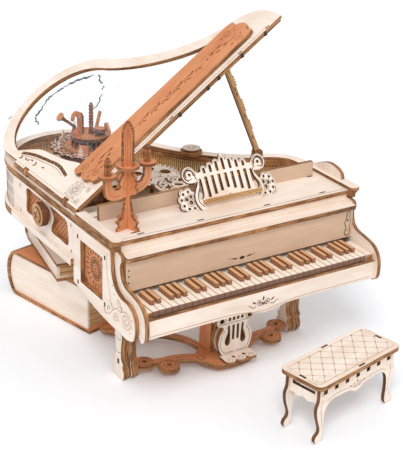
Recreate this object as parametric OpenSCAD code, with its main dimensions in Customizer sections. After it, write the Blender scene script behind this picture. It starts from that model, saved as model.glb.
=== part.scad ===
// Laser-cut plywood grand piano with a clockwork musical movement, standing on a stack of two books,
// with a separate bench.
// Frame: X to the treble side, Y from the keys to the tail, Z up.
// Origin: on the table, under the middle of the pedal base.

/* [Plywood] */
// Thickness of the main plywood sheets
ply = 3; // [2.6:0.1:3]
// Thickness of the thin plywood sheets
thin = 2; // [1.6:0.1:2]

/* [Case] */
// Width over the two cheeks
case_w = 190; // [186:1:194]
// Height of the underside of the case
case_z = 75; // [74:0.5:76]
// Height of the top of the rim
rim_z = 112; // [112:0.5:113]
// Radius of the round tail
tail_r = 53; // [51:1:54]
// Distance from the origin to the centre of the tail
tail_y = 143; // [141:1:145]

/* [Lid] */
// Angle at which the lid stands open on its prop
lid_open = 35.6; // [34:0.1:37]
// Length of the lid prop from pivot to tip
prop_len = 91.4; // [90:0.1:91.6]
// Lean of the prop from the vertical
prop_lean = 24.4; // [24:0.1:25]

/* [Keyboard] */
// Number of white keys
white_count = 35; // [28:7:35]
// Distance from one white key to the next
key_pitch = 4.77; // [4.6:0.01:4.8]
// Height of the top of the white keys
key_z = 76.3; // [76:0.1:77]
// Gap between neighbouring keys
key_gap = 0.36; // [0.3:0.02:0.5]

/* [Movement] */
// Tooth size of the gear train
gear_module = 1.25; // [1.25:0.01:1.26]
// Teeth on the drive gear and on the carousel gear
big_teeth = 32; // [32:4:32]
// Teeth on the idler gear
small_teeth = 16; // [16:2:16]
// Height of the underside of the gear train
gear_z = 104; // [103:0.5:104]

/* [Bench] */
// Length of the bench
bench_l = 80; // [76:1:82]
// Width of the bench
bench_w = 34; // [30:1:36]
// Height of the bench
bench_h = 42; // [40:1:44]

/* [Hidden] */

cream = [0.96, 0.89, 0.80];
tan = [0.80, 0.66, 0.54];
orange = [0.80, 0.45, 0.26];
steel = [0.75, 0.75, 0.78];
brass = [0.83, 0.68, 0.36];
clear = [0.9, 0.95, 0.97, 0.4];

half_w = case_w / 2;
inner_w = half_w - 2 * ply;
cheek_y = 50;
cheek_z = rim_z - 6;
cap_front_y = -3;
board_z = rim_z - 3;
lid_t = 4;
hinge_x = -half_w + 2;
hinge_z = rim_z + 2.4;
lid_y = 46.5;
pin_r = 1.5;
run = 0.05;
round_fn = 48;
small_fn = 24;

// ---- outlines ----
// Point on a smooth curve through p1 and p2, steered by their neighbours.
function curve_point(p0, p1, p2, p3, t) =
    0.5 * ((2 * p1) + (p2 - p0) * t + (2 * p0 - 5 * p1 + 4 * p2 - p3) * t * t
    + (3 * p1 - p0 - 3 * p2 + p3) * t * t * t);
// Smooth open curve through the points.
function smooth(p, n = 5) = concat(
    [for (i = [0 : len(p) - 2], k = [0 : n - 1])
        curve_point(p[max(i - 1, 0)], p[i], p[i + 1], p[min(i + 2, len(p) - 1)], k / n)],
    [p[len(p) - 1]]);
// Smooth closed curve through the points.
function smooth_loop(p, n = 5) =
    [for (i = [0 : len(p) - 1], k = [0 : n - 1])
        curve_point(p[(i + len(p) - 1) % len(p)], p[i], p[(i + 1) % len(p)], p[(i + 2) % len(p)], k / n)];
function unit(v) = v / norm(v);
function left_of(v) = [-v[1], v[0]];
// Unit normal of an open path at point i.
function path_normal(p, i) = left_of(unit(p[min(i + 1, len(p) - 1)] - p[max(i - 1, 0)]));
// The open path moved sideways by d.
function shifted(p, d) = [for (i = [0 : len(p) - 1]) p[i] + d * path_normal(p, i)];
function reversed(p) = [for (i = [len(p) - 1 : -1 : 0]) p[i]];
function mirrored(p) = [for (i = [len(p) - 1 : -1 : 0]) [-p[i][0], p[i][1]]];
// Cubic curve with two handles.
function bezier(a, b, c, d, n) = [for (k = [1 : n])
    let (t = k / n, s = 1 - t) s * s * s * a + 3 * s * s * t * b + 3 * s * t * t * c + t * t * t * d];

// The rim of the case, from the bass side round the tail to the treble side.
tail_x = -half_w + tail_r;
tail_end = [tail_x + tail_r * cos(20), tail_y + tail_r * sin(20)];
waist_end = [70, 83.5];
tail_arc = [for (k = [0 : 20]) [tail_x + tail_r * cos(180 - 8 * k), tail_y + tail_r * sin(180 - 8 * k)]];
waist = bezier(tail_end, tail_end + [8, -28], [43.4, 91.9], waist_end, 14);
shoulder = bezier(waist_end, [85, 79], [half_w, 72], [half_w, 58], 8);
bend = concat(tail_arc, waist, shoulder);

// The curved rim at inset d, with straight sides down to y on each side.
function rim(d, y) = concat([[-half_w + d, y]], shifted(bend, -d), [[half_w - d, y]]);
// A U-shaped band between two insets.
module rim_band(d_out, d_in, y) {
    polygon(concat(rim(d_out, y), reversed(rim(d_in, y))));
}
// A band of width w along an open path.
module band(p, w) {
    polygon(concat(shifted(p, w / 2), reversed(shifted(p, -w / 2))));
}
// A flat plate standing in the plane of Y and Z, its outer face at x.
module side_plate(x, t) {
    translate([x, 0, 0]) rotate([90, 0, 90]) linear_extrude(t) children();
}
// A flat plate standing in the plane of X and Z, its back face at y.
module front_plate(y, t) {
    translate([0, y, 0]) rotate([90, 0, 0]) linear_extrude(t) children();
}
module rounded_rect(w, h, r) {
    polygon([for (c = [0 : 3], k = [0 : 4])
        let (a = 90 * c + 22.5 * k, sx = (c == 0 || c == 3) ? 1 : -1, sy = c < 2 ? 1 : -1)
        [sx * (w / 2 - r) + r * cos(a), sy * (h / 2 - r) + r * sin(a)]]);
}

// ---- cheeks ----
window_y = [10, 40];
window_z = [67.4, 97.4];
outer_front = smooth([[0, cheek_z], [-1, 94], [-3, 87.5], [-7, 82.3], [-14, 79.4], [-22, 78.8], [-28, 75.5],
    [-31, 70.5], [-31.6, 63], [-29, 57], [-22, 54.6]]);
inner_front = smooth([[-3, cheek_z], [-7.4, 104.8], [-8.6, 101.6], [-6.8, 97.5], [-8.6, 90], [-13.5, 86],
    [-22, 84.3], [-31, 82], [-37, 76.5], [-38.8, 69], [-38.2, 61], [-34.5, 57.4], [-31, 60.5]]);
cheek_foot = smooth([[-22, 54.6], [0, 55.4], [20, 57.4], [36, 60.6], [cheek_y, 63.5]], 3);

module cheek_window() {
    translate([window_y[0], window_z[0]]) square([window_y[1] - window_y[0], window_z[1] - window_z[0]]);
}
module cheek_outer(side) {
    color(cream)
        side_plate(side < 0 ? -half_w : half_w - ply, ply)
            difference() {
                polygon(concat(outer_front, cheek_foot, [[cheek_y, cheek_z]]));
                cheek_window();
            }
}
module cheek_inner(side) {
    color(cream)
        side_plate(side < 0 ? -half_w + ply : half_w - 2 * ply, ply)
            difference() {
                polygon(concat(inner_front, [[-22, 57.5], [46, 62], [46, cheek_z]]));
                cheek_window();
            }
}
module sunburst_panels() {
    panel_gap = 0.1;
    color(orange)
        for (x = [-half_w + ply + 0.3, half_w - 2 * ply + 0.7])
            translate([x, window_y[0] + panel_gap, window_z[0] + panel_gap])
                cube([thin, window_y[1] - window_y[0] - 2 * panel_gap,
                    window_z[1] - window_z[0] - 2 * panel_gap]);
}

// ---- walls and floor ----
knob_y = 88;
knob_z = 98;
wall_z = case_z + 5;
front_window = smooth_loop([[57.5, 86.5], [70, 86.2], [82, 86.6], [80.6, 92], [78, 97], [81, 101.6],
    [83.5, 104], [70, 103.8], [60, 103], [57.8, 98]], 3);
rear_window = smooth_loop([[94.5, 104], [98.5, 100.5], [97.5, 95], [96.5, 89.5], [102, 87], [112, 86.6],
    [121, 86.8], [120.6, 96], [120.2, 104], [108, 104.2]], 3);

module left_wall() {
    color(cream)
        difference() {
            side_plate(-half_w, ply)
                difference() {
                    translate([cheek_y, wall_z]) square([tail_y - cheek_y, cheek_z - wall_z]);
                    polygon(front_window);
                    polygon(rear_window);
                }
            translate([-half_w - 1, knob_y, knob_z]) rotate([0, 90, 0])
                cylinder(h = ply + 2, r = 2 + run, $fn = round_fn);
        }
}
module lattice_panels() {
    color(orange)
        for (y = [[54.5, 83.6], [92.6, 124]])
            translate([-half_w + ply, y[0], wall_z + 2]) cube([thin, y[1] - y[0], cheek_z - wall_z - 2]);
}
module bent_side() {
    color(cream)
        translate([0, 0, wall_z]) linear_extrude(cheek_z - wall_z)
            difference() {
                rim_band(0, ply, cheek_y);
                translate([-half_w - 1, 0]) square([ply + 2, tail_y]);
            }
}
module base_rail() {
    color(cream)
        translate([0, 0, case_z]) linear_extrude(wall_z - case_z) rim_band(-2, 4, cheek_y);
}
module case_floor() {
    color(cream)
        translate([0, 0, case_z]) linear_extrude(ply) polygon(rim(4, cheek_y));
}
deck_z = 92;
carousel_at = [-30, 152];
module soundboard() {
    color(cream)
        translate([0, 0, deck_z])
            difference() {
                linear_extrude(thin)
                    difference() {
                        intersection() {
                            polygon(rim(ply + 0.1, cheek_y));
                            translate([-half_w, 118]) square([case_w, 90]);
                        }
                        translate([-half_w, 110]) square([ply + thin + 0.2, 14.2]);
                    }
                translate([carousel_at[0], carousel_at[1], -1])
                    cylinder(h = ply + 2, r = pin_r, $fn = round_fn);
            }
}
module rim_cap_lower() {
    color(cream)
        translate([0, 0, cheek_z]) linear_extrude(3) rim_band(0, 6, cap_front_y);
}
module rim_cap_upper() {
    color(cream)
        translate([0, 0, board_z]) linear_extrude(3) rim_band(-1.2, 6, cap_front_y);
}
rosette_at = [31, 108.5];
module rim_rosette() {
    color(cream)
        translate([rosette_at[0], rosette_at[1], rim_z]) {
            cylinder(h = thin, r = 8, $fn = round_fn);
            translate([0, 0, thin]) cylinder(h = thin, r = 6.6, $fn = round_fn);
        }
}
module side_crest() {
    crest = smooth([[45, rim_z], [44, 114.6], [36, 118.5], [26, 121.8], [17, 121.2], [11.5, 118.4], [10, 114],
        [11, rim_z]], 4);
    color(cream) side_plate(half_w - ply, ply) polygon(crest);
}

// ---- front of the case ----
module top_board() {
    color(cream)
        translate([-inner_w, cap_front_y + 0.5, board_z]) cube([2 * inner_w, lid_y - cap_front_y - 1, 3]);
}
module bulkhead() {
    color(cream)
        translate([-inner_w, 46.2, 69.1]) cube([2 * inner_w, ply, 34]);
}
rail_y = 31;
module back_rail() {
    color(tan)
        translate([-inner_w + 3, rail_y, rim_z]) cube([2 * inner_w - 9, ply, 10.5]);
}
board_gap = 0.1;
fall_y = -9;
fall_z = 80;
shelf_z = 101;
module fallboard() {
    color(tan)
        translate([-inner_w, fall_y, fall_z]) cube([2 * inner_w, ply, shelf_z - fall_z]);
}
module fallboard_shelf() {
    color(cream) {
        translate([-inner_w, fall_y - 2.6, shelf_z]) cube([2 * inner_w, 12, ply]);
        translate([-inner_w, -1, shelf_z + ply]) cube([2 * inner_w, ply, board_z - shelf_z - ply]);
    }
}
keys_w = white_count * key_pitch;
bed_z = 66;
// End blocks, and the rail and rod that the keys turn on.
module key_frame() {
    block_w = inner_w - keys_w / 2 - key_gap;
    post_w = block_w - 1;
    color(cream) {
        for (x = [-inner_w, inner_w - block_w])
            translate([x, -33, bed_z + ply]) cube([block_w, 24, key_z - bed_z - ply]);
        translate([-inner_w + 1, key_pivot_y - 2.5, bed_z + ply])
            cube([2 * inner_w - 2, 5, key_z - white_t - bed_z - ply - 0.4]);
        for (x = [-inner_w + 1, inner_w - 1 - post_w])
            translate([x, key_pivot_y - 2.5, key_z - white_t - 0.5]) cube([post_w, 5, white_t + 0.5]);
        translate([-inner_w + 2, key_pivot_y, rod_z]) rotate([0, 90, 0])
            cylinder(h = 2 * inner_w - 4, r = rod_r, $fn = small_fn);
    }
}
module keybed() {
    color(cream)
        translate([-inner_w, -33, bed_z]) cube([2 * inner_w, 79, ply]);
}
module keyslip() {
    slip_edge = smooth([[-inner_w, 59.6], [-22, 59.6], [-12, 58.6], [-5, 57.2], [0, 56.6], [5, 57.2],
        [12, 58.6], [22, 59.6], [inner_w, 59.6]], 3);
    color(cream) front_plate(-33.2, ply) polygon(concat(slip_edge, [[inner_w, 72.2], [-inner_w, 72.2]]));
}
module bottom_board() {
    color(cream) {
        translate([-inner_w, -33, 59.8]) cube([2 * inner_w, 79, ply]);
        for (x = [-46, 0, 46])
            translate([x - ply / 2, -30, 59.8 + ply]) cube([ply, 74, bed_z - 59.8 - ply]);
    }
}

// ---- music desk, candelabra and crest ----
desk_lean = 32.5;
desk_x = 5;
desk_y = 14;
desk_half = smooth([[23.5, 0], [26.4, 5], [26.4, 11], [23.6, 16], [22, 19.4], [25, 19.2], [29.8, 19.8],
    [32.6, 24], [31, 28.6], [27.2, 30.2], [23.6, 28.8], [21.4, 25.6], [18.8, 25.4], [9, 28.4], [0, 31]], 2);
desk_curl = [27, 24.8];
// Lobes and eyelets of the lace wings beside the desk: across, up and radius.
desk_lobes = [[24, 7, 6.4], [30, 8.4, 6.6], [28, 2.4, 2.4], [32, 2.6, 2.6], [35.4, 5.4, 2.6],
    [36.2, 9.8, 2.5], [34.2, 13.8, 2.6], [30, 15, 2.4]];
desk_eyelets = [[28, 3, 0.9], [32, 3.2, 1], [35.2, 5.8, 1], [36, 9.8, 1], [34, 13.4, 1], [30, 14.4, 0.9],
    [29.6, 7.2, 1.5], [32.4, 9.8, 1.2], [28.8, 11, 1.1]];
desk_bars = 7;
desk_pitch = 5.15;
// Puts a part on the desk's leaning plane, whose Z runs up the desk.
module on_desk() {
    difference() {
        translate([desk_x, desk_y, rim_z]) rotate([-desk_lean, 0, 0]) children();
        translate([desk_x - 50, 0, rim_z - 10]) cube([100, 40, 10]);
    }
}
// Height of the arch over bar k, counted from the middle.
function desk_arch(k) = 31.2 - 1.5 * abs(k);
module music_desk() {
    mid = (desk_bars - 1) / 2;
    color(cream) {
        on_desk() front_plate(thin, thin)
            difference() {
                union() {
                    polygon(concat(desk_half, mirrored(desk_half)));
                    for (k = [-mid : mid])
                        translate([k * desk_pitch, desk_arch(k)]) circle(r = 2.5, $fn = small_fn);
                    translate([0, desk_arch(0) + 2.3]) circle(r = 1.3, $fn = small_fn);
                }
                for (k = [-mid : mid]) {
                    low = 11.8 - 1.3 * abs(k);
                    translate([k * desk_pitch - 1.1, low]) square([2.2, 21.8 - low]);
                    translate([k * desk_pitch - 1, 24]) square([2, desk_arch(k) - 24]);
                    translate([k * desk_pitch, desk_arch(k)]) circle(r = 1, $fn = small_fn);
                }
                for (s = [-1, 1]) {
                    polygon([for (p = smooth_loop([[19.2, 20.6], [19.4, 12], [20.6, 8], [23.4, 7.6],
                        [24, 10.6], [22, 14.4], [20.8, 20.6]], 2)) [s * p[0], p[1]]]);
                    translate([s * desk_curl[0], desk_curl[1]]) {
                        circle(r = 1.1, $fn = small_fn);
                        band([for (a = [-30 : 15 : 200]) 3.1 * [s * cos(a), sin(a)]], 0.9);
                    }
                }
            }
        for (s = [-1, 1])
            on_desk() front_plate(2 * thin + 0.02, thin)
                difference() {
                    for (h = desk_lobes)
                        translate([s * h[0], h[1]]) circle(r = h[2], $fn = small_fn);
                    for (h = desk_eyelets)
                        translate([s * h[0], h[1]]) circle(r = h[2], $fn = small_fn);
                }
        for (s = [-1, 1])
            side_plate(desk_x + s * 16 - ply / 2, ply)
                polygon([[19.3, rim_z + 0.02], [30, rim_z + 0.02], [28.8, rim_z + 14.9]]);
    }
}
module desk_ledge() {
    color(tan) on_desk() translate([-22, -5.1, 4]) cube([44, 5, 2.6]);
}
stand_at = [-75, 14.4];
arm_turn = 16.5;
arm_r = 17.4;
arm_z = 150;
pan_z = rim_z + 40.4;
stem_half = smooth([[9.4, rim_z], [9.6, 113.6], [7.4, 114.8], [8.4, 116.8], [7, 118.8], [4.8, 120.4],
    [3.8, 125], [2.8, 130], [2.7, 134.4], [5.2, 136], [7.8, 137], [8.4, 139.4], [6.6, 141.4], [7.8, 144],
    [6, 146.8], [4.2, 148.6], [4, pan_z]], 3);
arm_half = smooth([[2.4, 134], [8, 133.6], [13.6, 134.4], [18.4, 137], [20.2, 141.4], [20.4, arm_z]], 3);
candle_half = smooth([[4.6, pan_z + thin], [4.6, 164], [4.7, 173], [4, 177.4], [2.4, 180.4], [0, 182.6]], 3);
small_candle_half = smooth([[2.2, arm_z + thin], [2.2, 159], [1.7, 161.4], [0, 163.4]], 2);
// A plate with the given right-hand edge and its mirror image.
module mirror_plate(half) {
    front_plate(thin / 2, thin) polygon(concat(half, mirrored(half)));
}
module candelabra_stand() {
    color(orange)
        translate([stand_at[0], stand_at[1], 0]) rotate([0, 0, arm_turn]) {
            for (turn = [0, 90])
                rotate([0, 0, turn]) mirror_plate(stem_half);
            for (s = [0, 1])
                mirror([s, 0, 0]) front_plate(thin / 2, thin)
                    polygon(concat(arm_half, [[14.6, arm_z], [14.2, 144], [12, 140.6], [5, 140]]));
            translate([0, 0, pan_z]) cylinder(h = thin, r = 7.4, $fn = small_fn);
            for (s = [-1, 1])
                translate([s * arm_r, 0, arm_z]) cylinder(h = thin, r = 5.6, $fn = small_fn);
        }
}
module candles() {
    color(orange)
        translate([stand_at[0], stand_at[1], 0]) rotate([0, 0, arm_turn])
            for (turn = [0, 90]) {
                rotate([0, 0, turn]) mirror_plate(candle_half);
                for (s = [-1, 1])
                    translate([s * arm_r, 0, 0]) rotate([0, 0, turn]) mirror_plate(small_candle_half);
            }
}

// ---- legs, stretcher and pedals ----
under_x = -3.3;
leg_at = [67.4, 22];
leg_profile = smooth([[-7.5, 59.7], [-7.5, 54.6], [-5.4, 51.4], [-7, 47], [-6.2, 41], [-4.2, 36],
    [-5.4, 31.4], [-4.4, 26], [-3.7, 19], [-4.4, 14.4], [-6.8, 12], [-5.8, 9], [-8, 5.4], [-7.4, 1.4],
    [-5.8, 0]], 3);
module front_legs() {
    layers = 4;
    layer_width = [0.94, 0.84, 1, 0.78];
    color(cream)
        for (s = [-1, 1], k = [0 : layers - 1])
            translate([under_x + s * leg_at[0] + (k - layers / 2) * ply, leg_at[1], 0])
                side_plate(0, ply - 0.02)
                    scale([layer_width[k], 1])
                        polygon(concat(leg_profile, [for (p = reversed(leg_profile)) [-p[0], p[1]]]));
}
stretch_z = 4;
module stretcher() {
    inner_ring = [-42, 8.4];
    outer_ring = [-54.6, 20.3];
    front_arm = smooth([[-10, 6], [-20, 9], [-29, 13.4], [-39, 15.2], [-47, 12]], 5);
    link_arm = smooth([[-39, 15.2], [-47, 17], [-54.6, 20.2], [-60.4, 21.8]], 4);
    rear_arm = smooth([[-9, 14], [-11.5, 28], [-17, 40], [-27, 50], [-40, 57], [-49, 64], [-53, 72]], 5);
    color(orange)
        translate([under_x, 0, 0]) {
            for (s = [0, 1])
                mirror([s, 0, 0])
                    translate([0, 0, stretch_z]) linear_extrude(ply)
                        difference() {
                            union() {
                                band(front_arm, 7);
                                band(link_arm, 6);
                                band(rear_arm, 5);
                                translate(inner_ring) circle(r = 7.3, $fn = round_fn);
                                translate(outer_ring) circle(r = 6.6, $fn = round_fn);
                                translate([-53, 75]) circle(r = 5.4, $fn = round_fn);
                            }
                            translate(inner_ring) circle(r = 1.6, $fn = small_fn);
                            translate(outer_ring) circle(r = 1.6, $fn = small_fn);
                        }
            translate([0, 0, stretch_z]) linear_extrude(ply)
                polygon(smooth_loop([[-21, 8], [-17, -3], [-10, -9], [10, -9], [17, -3], [21, 8], [10, 19],
                    [-10, 19]], 4));
            for (x = [-9, 6])
                translate([x, 9, stretch_z + ply]) cube([ply, 14, 52.6]);
        }
}
lyre_x = 0.8;
lyre_y = 1.4;
lyre_half = smooth([[0, 4.4], [9, 4.4], [12, 8], [13.6, 14], [12.6, 20], [9.8, 24.4], [10.6, 26.6],
    [14, 27.8], [15.4, 31], [14, 34.6], [10.6, 35.4], [8.6, 38], [7.4, 43], [7, 55.6]], 3);
module pedal_lyre() {
    layers = 3;
    color(cream)
        for (layer = [0 : layers - 1])
            translate([lyre_x, 0, 0]) front_plate(lyre_y + layer * ply, ply - 0.02)
                translate([0, stretch_z])
                difference() {
                    scale([layer == 1 ? 0.88 : 1, 1])
                        polygon(concat(lyre_half, mirrored(lyre_half)));
                    for (s = [-1, 1])
                        polygon([for (p = smooth_loop([[4.4, 13], [6.6, 11.6], [8.4, 14], [7.6, 18],
                            [6.2, 22], [6.4, 26], [5, 26.6], [4.4, 20]], 3)) [s * p[0], p[1]]]);
                    for (x = [-1.8, 1.8])
                        translate([x - 0.9, 15.4]) square([1.8, 11.2]);
                    for (x = [-5, -1.7, 1.7, 5])
                        translate([x - 0.9, 30.2]) square([1.8, 4.2]);
                    for (s = [-1, 1])
                        translate([s * 11.2, 31.2]) circle(r = 1.8, $fn = small_fn);
                }
}
module pedal_plate() {
    lobes = 3;
    color(cream)
        translate([lyre_x, 0, 0]) {
            linear_extrude(stretch_z)
                polygon(smooth_loop([[-14, 16], [-15, 4], [-12, -4], [12, -4], [15, 4], [14, 16]], 4));
            translate([0, 0, stretch_z + ply]) linear_extrude(thin)
                difference() {
                    polygon(concat([[-12.4, -1.7]], [for (k = [0 : lobes - 1], a = [180 : 20 : 360])
                        [(k - 1) * 8.4 + 4.2 * cos(a), -9 + 3.4 * sin(a)]], [[12.4, -1.7]]));
                    for (x = [-4.2, 4.2])
                        translate([x, -6.6]) circle(r = 1.5, $fn = 4);
                }
        }
}
module tail_support() {
    color(cream)
        for (k = [0 : 3])
            translate([-50 + k * ply, 128, small_book_z + small_book_h])
                cube([ply - 0.02, 18, case_z - small_book_z - small_book_h]);
}

// ---- books ----
large_book_h = 36;
small_book_z = large_book_h + 0.1;
small_book_h = 14;
cover_t = 2.4;
// A closed book lying flat: fore-edge towards -Y, spine towards +Y, its near corner at the origin.
module book_cover(w, l, h, bulge) {
    spine = smooth([[l - 6, 0], [l - 1.5, 1.5], [l + bulge * 0.7, h * 0.25], [l + bulge, h * 0.5],
        [l + bulge * 0.7, h * 0.75], [l - 1.5, h - 1.5], [l - 6, h]], 4);
    inner = inside_spine(l, h, bulge - cover_t, 0);
    side_plate(0, w) polygon(concat([[0, 0]], spine, [[0, h]], [[0, h - cover_t]], inner, [[0, cover_t]]));
}
// The hollow side of a spine, from the top board down, moved forward by gap.
function inside_spine(l, h, depth, gap) =
    let (deep = l + depth - gap, part = deep - (depth + cover_t) * 0.3)
    smooth([[l - 6, h - cover_t], [l - 2 - gap, h - cover_t - 1], [part, h * 0.72], [deep, h * 0.5],
        [part, h * 0.28], [l - 2 - gap, cover_t + 1], [l - 6, cover_t]], 4);
// The pages between the boards, rounded at the back to sit in the hollow of the spine.
page_inset = [1.2, 3];
page_slack = 0.3;
module book_pages(w, l, h, bulge) {
    side_plate(page_inset[0], w - 2 * page_inset[0])
        intersection() {
            polygon(concat([[page_inset[1], cover_t], [page_inset[1], h - cover_t]],
                inside_spine(l, h, bulge - cover_t, page_slack)));
            translate([0, cover_t + 0.02]) square([l + bulge, h - 2 * cover_t - 0.04]);
        }
}
module place_large_book() {
    translate([-67, 82, 0]) rotate([0, 0, 13.6]) children();
}
module place_small_book() {
    translate([-81.5, 102.9, small_book_z]) rotate([0, 0, -9.4]) children();
}
module large_book_cover() {
    color(orange) place_large_book() book_cover(72, 89, large_book_h, 4.6);
}
module large_book_pages() {
    color(cream) place_large_book() book_pages(72, 89, large_book_h, 4.6);
}
module small_book_cover() {
    color(cream) place_small_book() book_cover(60, 82, small_book_h, 2.4);
}
module small_book_pages() {
    color(cream) place_small_book() book_pages(60, 82, small_book_h, 2.4);
}

// ---- movement ----
big_r = gear_module * big_teeth / 2;
small_r = gear_module * small_teeth / 2;
train = big_r + small_r;
train_dir = unit([20.6, -56.3]);
idler_at = carousel_at + train * train_dir;
drive_at = idler_at + train * train_dir;
// Straight-flanked teeth with backlash.
module gear_2d(teeth) {
    r = gear_module * teeth / 2;
    tip = r + 0.85 * gear_module;
    root = r - 1.15 * gear_module;
    step = 360 / teeth;
    polygon([for (k = [0 : teeth - 1], q = [[root, -0.31], [tip, -0.115], [tip, 0.115], [root, 0.31]])
        q[0] * [cos((k + q[1]) * step), sin((k + q[1]) * step)]]);
}
// Turn that puts a tooth gap of the next gear on the line of centres.
train_angle = atan2(train_dir[1], train_dir[0]);
shaft_z = case_z + ply + 0.5;
module drive_gear() {
    color(cream)
        translate([drive_at[0], drive_at[1], 0]) {
            translate([0, 0, gear_z]) rotate([0, 0, train_angle]) linear_extrude(ply)
                difference() {
                    gear_2d(big_teeth);
                    for (k = [0 : 4])
                        rotate([0, 0, 72 * k]) translate([11, 0]) circle(r = 4, $fn = small_fn);
                }
            translate([0, 0, shaft_z]) cylinder(h = gear_z - shaft_z, r = pin_r, $fn = round_fn);
        }
}
module idler_gear() {
    color(cream)
        translate([idler_at[0], idler_at[1], gear_z])
            difference() {
                rotate([0, 0, train_angle + 180 / small_teeth]) linear_extrude(ply) gear_2d(small_teeth);
                translate([0, 0, -1]) cylinder(h = ply + 2, r = pin_r + run, $fn = round_fn);
            }
}
platform_r = 19;
platform_z = rim_z;
tier_h = 7;
tier_z = platform_z + thin + tier_h;
border_r = 26.4;
border_count = 20;
// The round stage with its scalloped, pierced border.
module platform_2d() {
    difference() {
        union() {
            circle(r = border_r, $fn = round_fn);
            for (k = [0 : border_count - 1])
                rotate(k * 360 / border_count) translate([border_r, 0]) circle(r = 2.2, $fn = small_fn);
        }
        for (k = [0 : border_count - 1])
            rotate((k + 0.5) * 360 / border_count) {
                translate([platform_r + 1.9, 0]) circle(r = 1.7, $fn = small_fn);
                rotate(180 / border_count) translate([border_r - 0.6, 0]) circle(r = 1.3, $fn = small_fn);
            }
    }
}
module carousel() {
    color(orange)
        translate([carousel_at[0], carousel_at[1], 0])
            difference() {
                union() {
                    translate([0, 0, gear_z]) rotate([0, 0, train_angle]) linear_extrude(ply)
                        gear_2d(big_teeth);
                    translate([0, 0, gear_z + ply])
                        cylinder(h = platform_z - gear_z - ply, r = 7, $fn = round_fn);
                    translate([0, 0, platform_z]) linear_extrude(thin) platform_2d();
                    translate([0, 0, platform_z + thin]) cylinder(h = tier_h, r = 9, $fn = round_fn);
                    translate([0, 0, tier_z]) cylinder(h = thin, r = 14, $fn = round_fn);
                }
                translate([0, 0, gear_z - 1]) cylinder(h = 5, r = pin_r + run, $fn = round_fn);
            }
}
// Half outline of a turned body, given as pairs of radius and height.
module turned(half) {
    rotate_extrude($fn = small_fn) polygon(concat([[0, half[0][1]]], half, [[0, half[len(half) - 1][1]]]));
}
module instruments() {
    floor_z = tier_z + thin;
    color(orange)
        translate([carousel_at[0], carousel_at[1], 0]) {
            // saxophone
            translate([-9, 0, floor_z + 0.4]) rotate([0, 0, 8]) front_plate(thin / 2, thin)
                polygon(smooth_loop([[-3.4, 0.2], [1.4, 0], [3, 3], [2.6, 12], [1.6, 16.6], [-1.6, 18.4],
                    [-4.8, 16.4], [-5.8, 12], [-4, 11.4], [-3, 14.4], [-1.4, 15.4], [-0.4, 12], [-0.6, 5],
                    [-2.6, 4]], 3));
            // bassoon
            translate([-5, 3.5, floor_z])
                turned([[2.4, 0], [2.4, 2.4], [2.1, 3], [2.1, 12], [1.7, 14.4], [1, 15.6]]);
            // clarinet
            translate([1.4, -0.4, floor_z])
                turned([[2.2, 0], [1.5, 2.4], [1.5, 7], [1.8, 7.4], [1.5, 8], [1.5, 16], [1.7, 16.4],
                    [1.3, 17], [1.3, 22], [0.9, 23.6]]);
            // violin bow
            translate([6.2, 2, floor_z]) rotate([0, 14, 0]) translate([-0.8, -1, 0.3])
                cube([1.8, thin, 15.1]);
            // trumpet
            translate([-9.6, 5, floor_z + 5.6]) rotate([0, -52, 0])
                turned([[1.2, 0], [1.1, 9], [1.7, 12], [3.4, 14], [3.4, 14.6]]);
            translate([-9.6, 5, floor_z]) cylinder(h = 6, r = 1.4, $fn = small_fn);
            // kettledrum
            translate([5, -7, floor_z]) turned([[1.8, 0], [3.4, 2], [4, 4.6], [4, 5.6]]);
            // accordion and harp on the lower tier
            translate([3, -17.6, platform_z + thin]) cube([9, 4.4, 6]);
            translate([-12.6, -14.2, platform_z + thin]) rotate([0, 0, -48]) translate([-3.4, 0, 0])
                cube([7, 3, 5.4]);
            translate([15.4, 1, platform_z + thin]) rotate([0, 0, 84]) front_plate(thin / 2, thin)
                difference() {
                    polygon([[-4, 0], [4, 0], [4.6, 2], [3.6, 13], [1, 14.4], [-4.6, 10], [-4.8, 2]]);
                    polygon([[-3, 2], [3, 2], [2.2, 11.6], [1, 12.2], [-3.2, 8.6]]);
                }
        }
}
plate_z = case_z + ply;
drum_z = plate_z + 11.5;
drum_at = [-4, 72];
module movement_plate() {
    color(brass)
        difference() {
            union() {
                translate([-26, 60, plate_z]) cube([44, 46, 2]);
                for (x = [-25, 15])
                    translate([x, 66, plate_z + 2]) cube([2, 12, 16]);
            }
            translate([drive_at[0], drive_at[1], plate_z - 1])
                cylinder(h = 5, r = pin_r + run, $fn = round_fn);
            translate([-27, drum_at[1], drum_z]) rotate([0, 90, 0])
                cylinder(h = 50, r = 1 + run, $fn = round_fn);
        }
}
module pin_drum() {
    drum_r = 6.5;
    color(brass)
        translate([0, drum_at[1], drum_z]) rotate([0, 90, 0]) {
            translate([0, 0, -24.9]) cylinder(h = 41.8, r = 1, $fn = round_fn);
            translate([0, 0, -19]) cylinder(h = 30, r = drum_r, $fn = round_fn);
        }
}
module movement_comb() {
    teeth = 18;
    tooth_pitch = 1.6;
    color(steel)
        translate([-19, 79.6, drum_z - 0.5]) {
            translate([0, 5, 0]) cube([teeth * tooth_pitch + 1, 6, 1.2]);
            for (k = [0 : teeth - 1])
                translate([0.6 + k * tooth_pitch, 0, 0]) cube([1.1, 5.1, 1.2]);
            translate([2, 6, -drum_z + 0.5 + plate_z + 2])
                cube([teeth * tooth_pitch - 3, 4, drum_z - plate_z - 2.5]);
        }
}
module spring_barrel() {
    color(brass)
        translate([-52, knob_y, knob_z]) rotate([0, 90, 0])
            difference() {
                cylinder(h = 14, r = 7.5, $fn = round_fn);
                translate([0, 0, -1]) cylinder(h = 13, r = 2 + run, $fn = round_fn);
            }
    color(brass)
        translate([-52, knob_y - 6, plate_z]) cube([14, 12, knob_z - 7.2 - plate_z]);
}
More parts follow.
